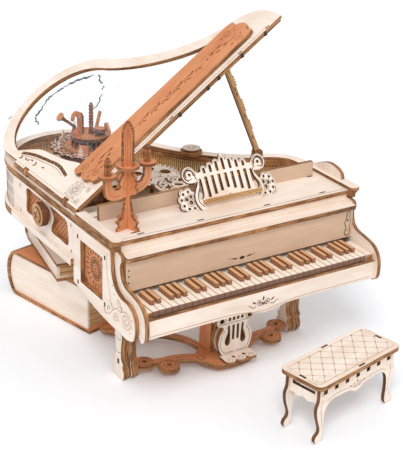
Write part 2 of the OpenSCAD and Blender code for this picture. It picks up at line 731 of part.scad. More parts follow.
module gear_pins() {
    color(steel) {
        translate([carousel_at[0], carousel_at[1], deck_z])
            cylinder(h = gear_z - deck_z + 3.6, r = pin_r, $fn = round_fn);
        translate([idler_at[0], idler_at[1], deck_z + thin]) {
            cylinder(h = gear_z - deck_z - thin + ply + 0.6, r = pin_r, $fn = round_fn);
            cylinder(h = gear_z - deck_z - thin - 0.3, r = 3, $fn = round_fn);
        }
    }
}
knob_r = 8;
module winding_knob() {
    color(tan)
        translate([-half_w, knob_y, knob_z]) rotate([0, 90, 0]) {
            translate([0, 0, -7.5]) cylinder(h = 5, r = knob_r, $fn = round_fn);
            translate([0, 0, -8.5]) cylinder(h = 1, r = knob_r - 2.4, $fn = round_fn);
            translate([0, 0, -2.5]) cylinder(h = 2, r = 5, $fn = round_fn);
            translate([0, 0, -1]) cylinder(h = 54, r = 2, $fn = round_fn);
        }
}

// ---- lid and prop ----
knuckles = [[60.2, 66.2], [120.2, 126.2]];
barrel_end = tail_y - 2;
// Puts lid parts at their open place: X runs along the lid from the hinge, Y is the case's, Z is its normal.
module on_lid() {
    translate([hinge_x, 0, hinge_z]) rotate([0, -lid_open, 0]) children();
}
function lid_rim(d) = [for (p = rim(d, lid_y)) p - [hinge_x, 0]];
window_left = [[7.5, 150], [17.6, 131], [20, 116], [22.4, 98.5], [26, 84], [26, 77.6]];
module lid_outline(d) {
    intersection() {
        polygon(lid_rim(d));
        translate([2.1, lid_y + d]) square([case_w, 200]);
    }
}
module lid_window(grow) {
    left_edge = shifted(smooth(window_left, 4), -grow);
    intersection() {
        polygon(lid_rim(9.5 - grow));
        polygon(concat([[0, 220], [7.5 - grow, 200]], left_edge, [[26 - grow, 77.5 - grow],
            [200, 77.5 - grow], [200, 220]]));
    }
}
module lid_frame() {
    color(cream) on_lid() linear_extrude(2) difference() {
        lid_outline(0);
        lid_window(0);
    }
}
module lid_underframe() {
    color(cream) on_lid() {
        translate([0, 0, -2]) linear_extrude(2) difference() {
            lid_outline(1.2);
            lid_window(1.6);
        }
        translate([prop_seat, prop_y - 2.5, -3.9]) cube([4, 5, 1.9]);
    }
}
module lid_pane() {
    color(clear) on_lid() translate([0, 0, -1.3]) linear_extrude(1.2) lid_window(1.4);
}
module lid_beam() {
    low = lid_y + 7;
    end_curve = smooth([[20, 77.5], [18, 74], [18.4, 71], [21, 69.6], [18.6, 66], [17.6, 61], [20.6, 56.4],
        [20, 53], [23.6, 50.6]], 3);
    far_curve = smooth([[164, low - 1], [168.6, low + 1.5], [166.6, low + 5], [170.4, low + 9],
        [169.6, low + 15], [166, low + 18.4], [167.6, low + 22], [163, low + 24]], 3);
    color(orange) on_lid() translate([0, 0, 2]) linear_extrude(ply) polygon(concat(end_curve, far_curve));
}
module lid_barrels() {
    color(cream) on_lid()
        difference() {
            for (y = [[lid_y, knuckles[0][0] - 0.2], [knuckles[0][1] + 0.2, knuckles[1][0] - 0.2],
                    [knuckles[1][1] + 0.2, barrel_end]]) {
                translate([0, y[1], 0]) rotate([90, 0, 0]) cylinder(h = y[1] - y[0], r = 2, $fn = round_fn);
                translate([0, y[0], -2]) cube([2.1, y[1] - y[0], lid_t]);
            }
            translate([0, barrel_end + 1, 0]) rotate([90, 0, 0])
                cylinder(h = barrel_end - lid_y + 2, r = 1 + run, $fn = round_fn);
        }
}
module hinge_lugs() {
    color(cream)
        translate([hinge_x, 0, 0])
            for (y = knuckles)
                difference() {
                    union() {
                        translate([0, y[1], hinge_z]) rotate([90, 0, 0])
                            cylinder(h = y[1] - y[0], r = 2, $fn = round_fn);
                        translate([-2, y[0], rim_z]) cube([4, y[1] - y[0], hinge_z - rim_z]);
                    }
                    translate([0, y[1] + 1, hinge_z]) rotate([90, 0, 0])
                        cylinder(h = y[1] - y[0] + 2, r = 1, $fn = round_fn);
                }
}
module hinge_pins() {
    color(steel)
        for (y = knuckles)
            translate([hinge_x, y[1] + 6, hinge_z]) rotate([90, 0, 0])
                cylinder(h = y[1] - y[0] + 12, r = 1, $fn = round_fn);
}
prop_at = [70, 115.2];
prop_y = 80.5;
prop_t = 2.6;
prop_seat = 150.6;
notches = [[20, 4], [36, 5], [58, 4]];
module lid_prop() {
    notch_h = 2.2;
    color(cream)
        translate([prop_at[0], prop_y + prop_t / 2, prop_at[1]])
            rotate([0, -prop_lean, 0])
                difference() {
                    rotate([90, 0, 0]) {
                        linear_extrude(prop_t) union() {
                            polygon([[-1.9, 0], [-1.9, prop_len - 1.6], [-0.8, prop_len], [0.8, prop_len],
                                [1.9, prop_len - 1.6], [1.9, 0]]);
                            for (g = notches, k = [0 : g[1] - 1])
                                translate([1.9, g[0] + k * notch_h])
                                    polygon([[-0.1, 0], [1.1, 0.2], [1.1, 0.9], [-0.1, notch_h]]);
                            circle(r = 2.6, $fn = small_fn);
                        }
                    }
                    translate([0, 1, 0]) rotate([90, 0, 0]) cylinder(h = 6, r = 0.8 + run, $fn = small_fn);
                }
}
module prop_bracket() {
    ear_gap = 0.3;
    color(cream) {
        for (y = [prop_y - prop_t / 2 - ear_gap - 1.5, prop_y + prop_t / 2 + ear_gap])
            translate([prop_at[0] - 3, y, rim_z]) cube([6, 1.5, 2]);
        for (y = [prop_y - prop_t / 2 - ear_gap - 1.5, prop_y + prop_t / 2 + ear_gap])
            translate([prop_at[0], y + 1.5, prop_at[1]]) rotate([90, 0, 0])
                cylinder(h = 1.5, r = 3, $fn = small_fn);
        translate([prop_at[0], prop_y + 3, prop_at[1]]) rotate([90, 0, 0])
            cylinder(h = 6, r = 0.8, $fn = small_fn);
    }
}

// ---- keys ----
key_front = -32.7;
key_back = 14;
key_pivot_y = 11.5;
black_front = -24.5;
black_back = -9.6;
black_w = 2.7;
white_t = 3.6;
rod_r = 0.8;
rod_z = key_z - white_t / 2;
// White keys that have a black key on their treble side.
function sharp_after(k) =
    let (n = k % 7) (n == 0 || n == 1 || n == 3 || n == 4 || n == 5) && k < white_count - 1;
module white_key(k) {
    x0 = -keys_w / 2 + k * key_pitch + key_gap / 2;
    x1 = x0 + key_pitch - key_gap;
    notch = black_w / 2 + 0.25 - key_gap / 2;
    left = (k > 0 && sharp_after(k - 1)) ? notch : 0;
    right = sharp_after(k) ? notch : 0;
    translate([0, 0, key_z - white_t]) linear_extrude(white_t)
        polygon([[x0, key_front], [x1, key_front], [x1, black_front - 0.4], [x1 - right, black_front - 0.4],
            [x1 - right, key_back], [x0 + left, key_back], [x0 + left, black_front - 0.4],
            [x0, black_front - 0.4]]);
}
module black_key(k) {
    x = -keys_w / 2 + (k + 1) * key_pitch;
    translate([x - black_w / 2, black_front, key_z - white_t]) {
        cube([black_w, key_back - black_front, white_t]);
        translate([0, 0, white_t]) cube([black_w, black_back - black_front, 3]);
    }
}
// A key's bore for the rod, from x over the length w.
module rod_bore(x, w) {
    translate([x, key_pivot_y, rod_z]) rotate([0, 90, 0])
        cylinder(h = w, r = rod_r + run, $fn = small_fn);
}
module key_bank(parity) {
    for (k = [parity : 2 : white_count - 1]) {
        x = -keys_w / 2 + k * key_pitch;
        color(cream)
            difference() {
                white_key(k);
                rod_bore(x - 1, key_pitch + 2);
            }
        if (sharp_after(k))
            color(tan)
                difference() {
                    black_key(k);
                    rod_bore(x, 2 * key_pitch);
                }
    }
}
module keys_odd() {
    key_bank(0);
}
module keys_even() {
    key_bank(1);
}

// ---- bench ----
bench_at = [24, -85.6];
bench_turn = 12.2;
bench_top_t = 3;
module place_bench() {
    translate([bench_at[0], bench_at[1], 0]) rotate([0, 0, bench_turn]) children();
}
module bench_side() {
    l = bench_l / 2;
    z = bench_h - bench_top_t;
    leg_curve = smooth([[l - 3.5, z], [l - 3.5, z - 9], [l - 1.6, z - 14], [l - 2.6, z - 21], [l - 5.4, 10],
        [l - 4.8, 6.6], [l - 2.2, 4.8], [l - 1.6, 2], [l - 3.4, 0], [l - 7, 0], [l - 9, 4], [l - 8.8, 11],
        [l - 9.2, z - 20], [l - 11.6, z - 14.6], [l - 17, z - 12], [14, z - 12.2], [7, z - 13], [3, z - 15],
        [0, z - 15.6]], 3);
    intersection() {
        polygon(concat(leg_curve, mirrored(leg_curve)));
        translate([-l, 0]) square([2 * l, z]);
    }
}
module bench_frame() {
    inset = bench_w / 2 - 3;
    panel_t = 2.5;
    windows = 7;
    window_pitch = 10.4;
    window_w = 3.4;
    window_low = bench_h - 8.8;
    color(cream) place_bench() {
        for (y = [-inset + panel_t, inset])
            front_plate(y, panel_t) difference() {
                bench_side();
                for (k = [0 : windows - 1])
                    translate([(k - 3) * window_pitch - window_w / 2, window_low]) square(window_w);
            }
        for (x = [-bench_l / 2 + 4.5, bench_l / 2 - 4.5 - panel_t])
            side_plate(x, panel_t) difference() {
                polygon(concat([[-inset + panel_t + 0.1, bench_h - bench_top_t]],
                    smooth([[-inset + panel_t + 0.1, 26], [-8, 26.6], [-4, 25.4], [0, 27], [4, 25.4],
                    [8, 26.6], [inset - panel_t - 0.1, 26]], 3),
                    [[inset - panel_t - 0.1, bench_h - bench_top_t]]));
                translate([-9, bench_h - 9.2]) square([18, window_w]);
            }
    }
}
module bench_top() {
    color(cream) place_bench() translate([0, 0, bench_h - bench_top_t]) linear_extrude(bench_top_t)
        rounded_rect(bench_l, bench_w, 4.5);
}

module cheek_outer_left() { cheek_outer(-1); }
module cheek_outer_right() { cheek_outer(1); }
module cheek_inner_left() { cheek_inner(-1); }
module cheek_inner_right() { cheek_inner(1); }

cheek_outer_left();
cheek_outer_right();
cheek_inner_left();
cheek_inner_right();
sunburst_panels();
left_wall();
lattice_panels();
bent_side();
base_rail();
case_floor();
soundboard();
rim_cap_lower();
rim_cap_upper();
rim_rosette();
side_crest();
top_board();
bulkhead();
back_rail();
fallboard();
fallboard_shelf();
key_frame();
keybed();
keyslip();
bottom_board();
music_desk();
desk_ledge();
candelabra_stand();
candles();
front_legs();
stretcher();
pedal_lyre();
pedal_plate();
tail_support();
large_book_cover();
large_book_pages();
small_book_cover();
small_book_pages();
movement_plate();
movement_comb();
spring_barrel();
gear_pins();
hinge_lugs();
hinge_pins();
prop_bracket();
lid_frame();
lid_underframe();
lid_pane();
lid_beam();
lid_barrels();
lid_prop();
winding_knob();
carousel();
instruments();
idler_gear();
drive_gear();
pin_drum();
keys_odd();
keys_even();
bench_frame();
bench_top();
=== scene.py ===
# Looks of the plywood piano puzzle: camera, light, plywood materials and the fine cut and engraved detail.
import functools
import math
import random
import bmesh
import bpy
from mathutils import Matrix, Vector


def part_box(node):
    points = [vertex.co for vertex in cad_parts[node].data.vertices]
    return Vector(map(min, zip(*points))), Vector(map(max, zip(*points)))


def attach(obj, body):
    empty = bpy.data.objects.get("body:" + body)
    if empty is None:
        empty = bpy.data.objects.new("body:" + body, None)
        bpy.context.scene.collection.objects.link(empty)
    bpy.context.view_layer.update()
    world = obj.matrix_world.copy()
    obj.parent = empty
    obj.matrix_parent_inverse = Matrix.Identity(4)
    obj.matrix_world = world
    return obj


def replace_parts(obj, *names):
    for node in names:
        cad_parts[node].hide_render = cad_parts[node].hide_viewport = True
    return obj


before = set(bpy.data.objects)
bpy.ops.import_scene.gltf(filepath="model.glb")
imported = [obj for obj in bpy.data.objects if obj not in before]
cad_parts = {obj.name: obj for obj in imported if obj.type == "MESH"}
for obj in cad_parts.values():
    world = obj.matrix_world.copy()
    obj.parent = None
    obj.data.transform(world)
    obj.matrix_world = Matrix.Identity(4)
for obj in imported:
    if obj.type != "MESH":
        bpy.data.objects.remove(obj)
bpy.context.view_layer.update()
MM = 0.001
RNG = random.Random(7)
X, Y, Z = (1, 0, 0), (0, 1, 0), (0, 0, 1)


# ---- materials ----
def linear(rgb):
    """Scene colour of an sRGB colour given as 0 to 255."""
    out = []
    for c in rgb:
        c = c / 255
        out.append(c / 12.92 if c <= 0.04045 else ((c + 0.055) / 1.055) ** 2.4)
    return (*out, 1.0)


class Nodes:
    """A material's node tree, with short ways to add and join nodes."""

    def __init__(self, name):
        self.mat = bpy.data.materials.new(name)
        self.mat.use_nodes = True
        self.tree = self.mat.node_tree
        self.shader = self.tree.nodes["Principled BSDF"]

    def put(self, value, socket):
        """Links an output to the socket, or sets a constant on it."""
        if isinstance(value, bpy.types.NodeSocket):
            self.tree.links.new(value, socket)
        else:
            socket.default_value = value

    def add(self, kind, *values, **props):
        """A node with these properties, and these values or links on its first inputs."""
        node = self.tree.nodes.new(kind)
        for key, value in props.items():
            setattr(node, key, value)
        for value, socket in zip(values, node.inputs):
            self.put(value, socket)
        return node

    def math(self, op, a, b=0.0):
        return self.add("ShaderNodeMath", a, b, operation=op).outputs[0]

    def mix(self, factor, a, b):
        node = self.add("ShaderNodeMix", factor, data_type="RGBA")
        self.put(a, node.inputs[6])
        self.put(b, node.inputs[7])
        return node.outputs[2]

    def ramp(self, value, low, high, to_low=0.0, to_high=1.0):
        return self.add("ShaderNodeMapRange", value, low, high, to_low, to_high).outputs[0]

    def tint(self, value, low, high, first, second):
        """The first sRGB colour where the value is low, the second where it is high."""
        return self.mix(self.ramp(value, low, high), linear(first), linear(second))

    def noise(self, vector, scale, detail=3.0, rough=0.55):
        """Noise of one scale, or of a scale along each axis."""
        if isinstance(scale, tuple):
            vector = self.add("ShaderNodeVectorMath", vector, scale, operation="MULTIPLY").outputs[0]
            scale = 1.0
        still = 0.0
        return self.add("ShaderNodeTexNoise", vector, still, scale, detail, rough).outputs[0]

    def place(self):
        return self.add("ShaderNodeTexCoord").outputs["Object"]

    def normal(self):
        return self.add("ShaderNodeNewGeometry").outputs["Normal"]

    def dot(self, vector, axis):
        return self.add("ShaderNodeVectorMath", vector, axis, operation="DOT_PRODUCT").outputs["Value"]

    def sheet(self, grain, up):
        """Coordinates in millimetres along the grain, across it in the sheet, and through the sheet."""
        place = self.place()
        g, n = Vector(grain).normalized(), Vector(up).normalized()
        along = [self.math("MULTIPLY", self.dot(place, a), 1 / MM) for a in (g, n.cross(g).normalized(), n)]
        return self.add("ShaderNodeCombineXYZ", *along).outputs[0]

    def scorched_rim(self, colour, radius, amount):
        """The colour, with a burnt line along the edges of the sheet."""
        bevel = self.add("ShaderNodeBevel", radius, samples=3)
        flatness = self.dot(bevel.outputs[0], self.normal())
        return self.mix(self.ramp(flatness, 0.90, 0.995, amount, 0.0), colour, linear(BURNT[1]))

    def bump(self, height, strength, distance):
        node = self.add("ShaderNodeBump")
        for name, value in (("Strength", strength), ("Distance", distance), ("Height", height)):
            self.put(value, node.inputs[name])
        self.put(node.outputs[0], self.shader.inputs["Normal"])

    def done(self, colour, rough):
        self.put(colour, self.shader.inputs["Base Color"])
        self.put(rough, self.shader.inputs["Roughness"])
        return self.mat


# sRGB colours of each kind of wood: most of it, its shade and its darkest marks
CREAM = ((246, 232, 219), (228, 204, 182), (178, 138, 104))
ORANGE = ((218, 146, 98), (190, 110, 62), (122, 64, 30))
BOARD = ((214, 184, 158), (198, 166, 138), (160, 122, 90))
KEY = ((250, 234, 216), (236, 210, 184), (184, 140, 100))
PAGE = ((238, 214, 184), (206, 160, 116), (126, 76, 40))
BURNT = ((196, 140, 88), (136, 86, 46), (62, 34, 16))
DARK_CUT = ((132, 82, 46), (84, 48, 26), (34, 18, 10))
GOLD = ((214, 168, 112), (176, 124, 70), (112, 70, 34))
AMBER = ((176, 112, 66), (136, 78, 42), (84, 44, 22))
# honey: painted shade, the colour of the bent side's inner face inside the case
HONEY_PAINTED_SHADE = ((244, 204, 142), (218, 170, 104), (156, 106, 56))
CHAR = ((74, 50, 38), (48, 32, 26), (24, 16, 12))
QUILT_LINE = ((200, 156, 116), (168, 120, 80), (120, 78, 46))
BEAM_LINE = ((168, 88, 44), (128, 62, 28), (84, 38, 16))
SOFT_LINE = ((160, 96, 54), (120, 66, 34), (70, 34, 16))


@functools.cache
def ply_face(colours, grain, up):
    """Sanded plywood face: long grain, cloudy figure, pores and scorched edges."""
    k = Nodes("ply_face")
    base, shade, dark = (linear(c) for c in colours)
    p = k.sheet(grain, up)
    figure = k.noise(p, (0.02, 0.09, 0.05), 4.0, 0.6)
    streak = k.noise(p, (0.06, 1.5, 0.3), 3.0, 0.65)
    fine = k.noise(p, (0.22, 6.0, 2.0), 2.0, 0.5)
    pores = k.noise(p, (0.5, 3.4, 1.0), 1.0, 0.4)
    colour = k.mix(k.ramp(figure, 0.40, 0.72, 0.0, 0.85), base, shade)
    colour = k.mix(k.ramp(streak, 0.50, 0.74, 0.0, 0.55), colour, shade)
    colour = k.mix(k.ramp(fine, 0.56, 0.80, 0.0, 0.30), colour, dark)
    colour = k.mix(k.ramp(pores, 0.70, 0.78, 0.0, 0.35), colour, dark)
    colour = k.scorched_rim(colour, 0.45 * MM, 0.72)
    k.bump(k.math("ADD", streak, fine), 0.35, 0.12 * MM)
    return k.done(colour, k.ramp(fine, 0.3, 0.8, 0.50, 0.72))


@functools.cache
def ply_edge(colours, up):
    """Laser-cut edge: scorched brown, with the sheet's glued layers showing as lines."""
    k = Nodes("ply_edge")
    base, shade, dark = (linear(c) for c in colours)
    p = k.sheet(Z if abs(Vector(up).normalized().z) < 0.9 else X, up)
    cloud = k.noise(p, (0.12, 0.12, 0.3), 3.0, 0.6)
    layer = k.noise(p, (0.03, 0.03, 1.05), 2.0, 0.5)
    char = k.noise(p, (1.4, 1.4, 0.5), 2.0, 0.5)
    colour = k.mix(k.ramp(cloud, 0.35, 0.68), base, shade)
    colour = k.mix(k.ramp(layer, 0.46, 0.60, 0.0, 0.75), colour, dark)
    colour = k.mix(k.ramp(char, 0.58, 0.78, 0.0, 0.5), colour, dark)
    k.bump(k.math("ADD", layer, char), 0.4, 0.1 * MM)
    return k.done(colour, k.ramp(cloud, 0.3, 0.7, 0.62, 0.85))


@functools.cache
def engraved(colours=DARK_CUT):
    """The scorched line that an engraving or an open cut shows."""
    k = Nodes("scorched")
    base, shade, dark = (linear(c) for c in colours)
    p = k.sheet(X, Z)
    cloud = k.noise(p, 0.5, 3.0, 0.6)
    speck = k.noise(p, 3.0, 2.0, 0.6)
    colour = k.mix(k.ramp(cloud, 0.35, 0.65), base, shade)
    colour = k.mix(k.ramp(speck, 0.5, 0.75, 0.0, 0.8), colour, dark)
    k.bump(speck, 0.3, 0.08 * MM)
    return k.done(colour, k.ramp(cloud, 0.3, 0.7, 0.7, 0.9))


@functools.cache
def page_wood():
    """Cut ends of a book's plywood leaves, with their layers showing."""
    k = Nodes("page_wood")
    p = k.sheet(X, Z)
    cloud = k.noise(p, (0.03, 0.03, 0.5), 3.0, 0.6)
    streak = k.noise(p, (0.1, 0.1, 3.2), 2.0, 0.6)
    colour = k.tint(cloud, 0.4, 0.66, (226, 184, 136), (196, 148, 98))
    colour = k.mix(k.ramp(streak, 0.55, 0.72, 0.0, 0.6), colour, linear((128, 82, 46)))
    k.bump(streak, 0.4, 0.1 * MM)
    return k.done(colour, k.ramp(streak, 0.3, 0.7, 0.6, 0.8))


def key_wood():
    """Keys: pale tops and burnt sides; whatever stands above the white tops is a brown sharp."""
    k = Nodes("key_wood")
    p = k.sheet(Y, Z)
    streak = k.noise(p, (0.08, 1.8, 0.4), 3.0, 0.6)
    fine = k.noise(p, (0.25, 7.0, 2.0), 2.0, 0.5)
    white = k.mix(k.ramp(streak, 0.45, 0.75, 0.0, 0.7), linear(KEY[0]), linear(KEY[1]))
    sharp = k.tint(streak, 0.35, 0.7, (224, 178, 134), (192, 140, 96))
    level = k.ramp(k.dot(k.place(), Z), WHITE_TOP + 0.2 * MM, WHITE_TOP + 0.4 * MM)
    upward = k.math("ABSOLUTE", k.dot(k.normal(), Z))
    side = k.ramp(upward, 0.6, 0.8, 0.9, 0.0)
    burnt = k.mix(level, linear((104, 58, 34)), linear((146, 90, 54)))
    colour = k.mix(side, k.mix(level, white, sharp), burnt)
    colour = k.mix(k.ramp(fine, 0.6, 0.8, 0.0, 0.3), colour, linear(KEY[2]))
    colour = k.scorched_rim(colour, 0.4 * MM, 0.6)
    k.bump(k.math("ADD", streak, fine), 0.3, 0.1 * MM)
    return k.done(colour, k.ramp(streak, 0.3, 0.7, 0.5, 0.68))


def acrylic():
    """Clear cast sheet with a faint printed net."""
    k = Nodes("clear_acrylic")
    p = k.sheet(X, Z)
    cell = k.add("ShaderNodeTexVoronoi", feature="DISTANCE_TO_EDGE")
    k.put(p, cell.inputs["Vector"])
    cell.inputs["Scale"].default_value = 0.22
    haze = k.noise(p, 0.06, 3.0, 0.5)
    net = k.math("MULTIPLY", k.ramp(cell.outputs["Distance"], 0.015, 0.05, 1.0, 0.0), k.ramp(haze, 0.42, 0.6))
    alpha = k.math("ADD", k.math("MULTIPLY", net, 0.05), k.ramp(haze, 0.3, 0.7, 0.01, 0.03))
    k.put(alpha, k.shader.inputs["Alpha"])
    k.shader.inputs["Specular IOR Level"].default_value = 0.25
    colour = k.mix(net, linear((244, 248, 250)), linear((150, 156, 168)))
    return k.done(colour, k.ramp(haze, 0.3, 0.7, 0.08, 0.16))


def ink(name, scale, first, second, alpha=1.0):
    """Print on the clear sheet."""
    k = Nodes(name)
    shade = k.noise(k.place(), scale, 2.0)
    k.shader.inputs["Alpha"].default_value = alpha
    return k.done(k.tint(shade, 0.4, 0.6, first, second), k.ramp(shade, 0.3, 0.7, 0.4, 0.6))


def metal(name, base, shade, axis):
    """Brushed metal, with the brushing along the axis."""
    k = Nodes(name)
    p = k.sheet(axis, Z)
    brushed = k.noise(p, (0.4, 6.0, 6.0), 3.0, 0.6)
    cloud = k.noise(p, 0.3, 3.0, 0.5)
    k.shader.inputs["Metallic"].default_value = 1.0
    k.bump(brushed, 0.15, 0.03 * MM)
    return k.done(k.tint(cloud, 0.3, 0.7, base, shade), k.ramp(brushed, 0.3, 0.7, 0.26, 0.42))


# ---- directions and places, in the part's own axes and in millimetres ----
def tilted(degrees):
    """Cosine and sine of the angle."""
    return math.cos(math.radians(degrees)), math.sin(math.radians(degrees))


def edge_of(node, end, axis):
    """Where the node's box begins (end 0) or finishes (end 1) along the axis."""
    return round(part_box(node)[end][axis] / MM, 2)


LID_COS, LID_SIN = tilted(35.6)
ALONG_LID = (LID_COS, 0, LID_SIN)
LID_NORMAL = (-LID_SIN, 0, LID_COS)
LID_HINGE = Vector((-93, 0, 114.4))
BENCH_COS, BENCH_SIN = tilted(12.2)
ALONG_BENCH = (BENCH_COS, BENCH_SIN, 0)
ACROSS_BENCH = (-BENCH_SIN, BENCH_COS, 0)
BENCH_AT = (24, -85.6)
BIG_BOOK_TURN = 13.6
SMALL_BOOK_TURN = -9.4
DESK_COS, DESK_SIN = tilted(32.5)
DESK_UP = (0, DESK_SIN, DESK_COS)
DESK_NORMAL = (0, -DESK_COS, DESK_SIN)
PROP_COS, PROP_SIN = tilted(24.4)
PROP_UP = (-PROP_SIN, 0, PROP_COS)
PROP_ACROSS = (PROP_COS, 0, PROP_SIN)

SHEET = 3.0
HALF_W = -edge_of("left_wall", 0, 0)
RIM_TOP = edge_of("rim_cap_upper", 1, 2)
SOUNDBOARD_TOP = edge_of("soundboard", 1, 2)
GEAR_TOP = edge_of("drive_gear", 1, 2)
BENCH_TOP = edge_of("bench_top", 1, 2)
PEDAL_TOP = edge_of("pedal_plate", 1, 2)
ROSETTE_TOP = edge_of("rim_rosette", 1, 2)
FALLBOARD_FRONT = edge_of("fallboard", 0, 1)
KNOB_FRONT = edge_of("winding_knob", 0, 0)
STAGE_FLOOR = edge_of("instruments", 0, 2)
DRUM_TOP = edge_of("carousel", 1, 2)
STAGE_AT = tuple((edge_of("carousel", 0, i) + edge_of("carousel", 1, i)) / 2 for i in (0, 1))
WHITE_TOP = 76.3 * MM
KNOB_AT = (88, 98)
SCROLL_AT = (-5.0, 67.0)
UNDER_X = -3.3

# widths of engraved lines
HAIR, FINE, PEN, BROAD, HEAVY = 0.25, 0.3, 0.35, 0.4, 0.5


# ---- faces and cut edges of the CAD nodes ----
def narrow_faces(obj, width):
    """Gives slot 1 to every flat patch narrower than the width: the sheet's cut edges."""
    mesh = bmesh.new()
    mesh.from_mesh(obj.data)
    mesh.faces.ensure_lookup_table()

    def ends(edge):
        return tuple(sorted(tuple(round(c, 7) for c in v.co) for v in edge.verts))

    beside = {}
    for f in mesh.faces:
        for e in f.edges:
            beside.setdefault(ends(e), []).append(f.index)
    seen = set()
    kind = [0] * len(mesh.faces)
    for f in mesh.faces:
        if f.index in seen:
            continue
        seen.add(f.index)
        patch, stack, area, rim = [], [f], 0.0, 0.0
        while stack:
            g = stack.pop()
            patch.append(g.index)
            area += g.calc_area()
            for e in g.edges:
                outer = True
                for i in beside[ends(e)]:
                    h = mesh.faces[i]
                    if i != g.index and h.normal.dot(f.normal) > 0.9995:
                        outer = False
                        if i not in seen:
                            seen.add(i)
                            stack.append(h)
                if outer:
                    rim += e.calc_length()
        if rim == 0 or 2 * area / rim < width:
            for i in patch:
                kind[i] = 1
    mesh.free()
    obj.data.polygons.foreach_set("material_index", kind)


def cut_edges(obj, edge, width):
    obj.data.materials.append(edge)
    narrow_faces(obj, width * MM)


def dress(node, mat):
    """Gives the node one material in place of what it has."""
    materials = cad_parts[node].data.materials
    materials.clear()
    materials.append(mat)


def golden_painted_shade_inside(obj):
    """The bent side's inner face, which looks into the case, is coloured a darker, warmer honey than its
    cream outer face: painted shade inside the case.
    """
    obj.data.materials.append(ply_face(HONEY_PAINTED_SHADE, Z, Y))
    path = rim_path()
    for f in obj.data.polygons:
        if f.material_index != 0:
            continue
        c = Vector((f.center.x, f.center.y)) / MM
        near = min(range(len(path) - 1), key=lambda i: (path[i] - c).length)
        d = path[near + 1] - path[near]
        if Vector((-d.y, d.x)).dot(Vector((f.normal.x, f.normal.y))) < 0:
            # faces turned into the case get the honey colour: painted shade
            f.material_index = 2


def dress_nodes():
    """Gives every CAD node its materials: wooden ones have a face and a cut edge."""
    big, small = ((-tilted(a)[1], tilted(a)[0], 0) for a in (BIG_BOOK_TURN, SMALL_BOOK_TURN))
    # nodes, face colours, grain, way the sheet faces, widest cut edge; and where they differ from
    # burnt brown and from the sheet, the cut edge's colours and the way its layers face
    wood = (
        ("case_floor soundboard rim_rosette top_board keybed bottom_board", CREAM, X, Z, 3.3),
        ("pedal_plate fallboard_shelf key_frame", CREAM, X, Z, 3.3),
        ("rim_cap_lower rim_cap_upper", CREAM, Y, Z, 3.0),
        ("base_rail", CREAM, Y, Z, 4.6),
        ("cheek_outer_left cheek_outer_right cheek_inner_left cheek_inner_right left_wall", CREAM, Y, X, 3.3),
        ("side_crest front_legs", CREAM, Z, X, 3.3),
        ("sunburst_panels lattice_panels", ORANGE, Z, X, 2.2),
        ("bulkhead keyslip hinge_lugs prop_bracket", CREAM, X, Y, 3.3),
        ("fallboard back_rail", BOARD, X, Y, 3.3),
        ("desk_ledge", GOLD, X, Z, 1.0, DARK_CUT),
        ("music_desk", CREAM, DESK_UP, DESK_NORMAL, 2.02, DARK_CUT),
        ("candelabra_stand candles", ORANGE, Z, Y, 2.02, AMBER, Z),
        ("stretcher", ORANGE, X, Z, 3.05),
        ("pedal_lyre", CREAM, Z, Y, 3.2),
        ("tail_support", CREAM, Z, X, 3.1),
        ("large_book_cover", ORANGE, big, Z, 2.6),
        ("small_book_cover", CREAM, small, Z, 2.6),
        ("bent_side", CREAM, Z, Y, 2.0, BURNT, Z),
        ("lid_frame lid_underframe", CREAM, Y, LID_NORMAL, 2.02),
        ("lid_beam", ORANGE, ALONG_LID, LID_NORMAL, 3.05),
        ("lid_barrels", CREAM, Y, Z, 1.2, BURNT, X),
        ("lid_prop", GOLD, PROP_UP, Y, 2.7, DARK_CUT),
        ("winding_knob", GOLD, Y, X, 1.6, DARK_CUT),
        ("carousel", ORANGE, X, Z, 1.9, DARK_CUT),
        ("instruments", ORANGE, Z, Y, 0.5, AMBER, Z),
        ("idler_gear drive_gear", CREAM, Y, Z, 2.2),
        ("bench_frame", CREAM, ALONG_BENCH, ACROSS_BENCH, 2.6, DARK_CUT),
        ("bench_top", CREAM, ALONG_BENCH, Z, 3.3),
    )
    whole = (
        ("large_book_pages small_book_pages", ply_edge(PAGE, Z)),
        ("lid_pane", acrylic()),
        ("keys_odd keys_even", key_wood()),
        ("gear_pins hinge_pins movement_comb", metal("bright_steel", (190, 192, 198), (150, 152, 160), X)),
        ("movement_plate spring_barrel pin_drum", metal("satin_brass", (206, 168, 96), (164, 124, 60), X)),
    )
    for names, mat in whole:
        for name in names.split():
            dress(name, mat)
    for names, colours, grain, up, width, *other in wood:
        edge, layers = other + [BURNT, up][len(other):]
        for name in names.split():
            dress(name, ply_face(colours, grain, up))
            cut_edges(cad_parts[name], ply_edge(edge, layers), width)
    golden_painted_shade_inside(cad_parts["bent_side"])


# ---- outlines, in the millimetres of a flat place ----
def polar(r, degrees, centre=(0, 0)):
    """The point at this radius and angle from the centre."""
    c, s = tilted(degrees)
    return centre[0] + r * c, centre[1] + r * s


def rect(x, y, half_x, half_y):
    return [(x + i * half_x, y + j * half_y) for i, j in ((-1, -1), (1, -1), (1, 1), (-1, 1))]


def mirrored(points, s):
    """The points, on the other side where s is -1."""
    return [(s * x, y) for x, y in points]


def smooth(points, steps=6):
    """Smooth curve through the points."""
    p = [Vector(a) for a in points]
    out = []
    for i in range(len(p) - 1):
        q = [p[min(max(i + k, 0), len(p) - 1)] for k in (-1, 0, 1, 2)]
        for s in range(steps):
            t = s / steps
            out.append(0.5 * (2 * q[1] + (q[2] - q[0]) * t + (2 * q[0] - 5 * q[1] + 4 * q[2] - q[3]) * t * t
                + (3 * q[1] - q[0] - 3 * q[2] + q[3]) * t ** 3))
    return [(v.x, v.y) for v in out + [p[-1]]]


def circle(c, r, n=28, a0=0.0, a1=360.0):
    """A circle of n points, or an arc of n steps when it is less than a whole turn."""
    step = (a1 - a0) / n
    return [polar(r, a0 + k * step, c) for k in range(n if a1 - a0 >= 360 else n + 1)]


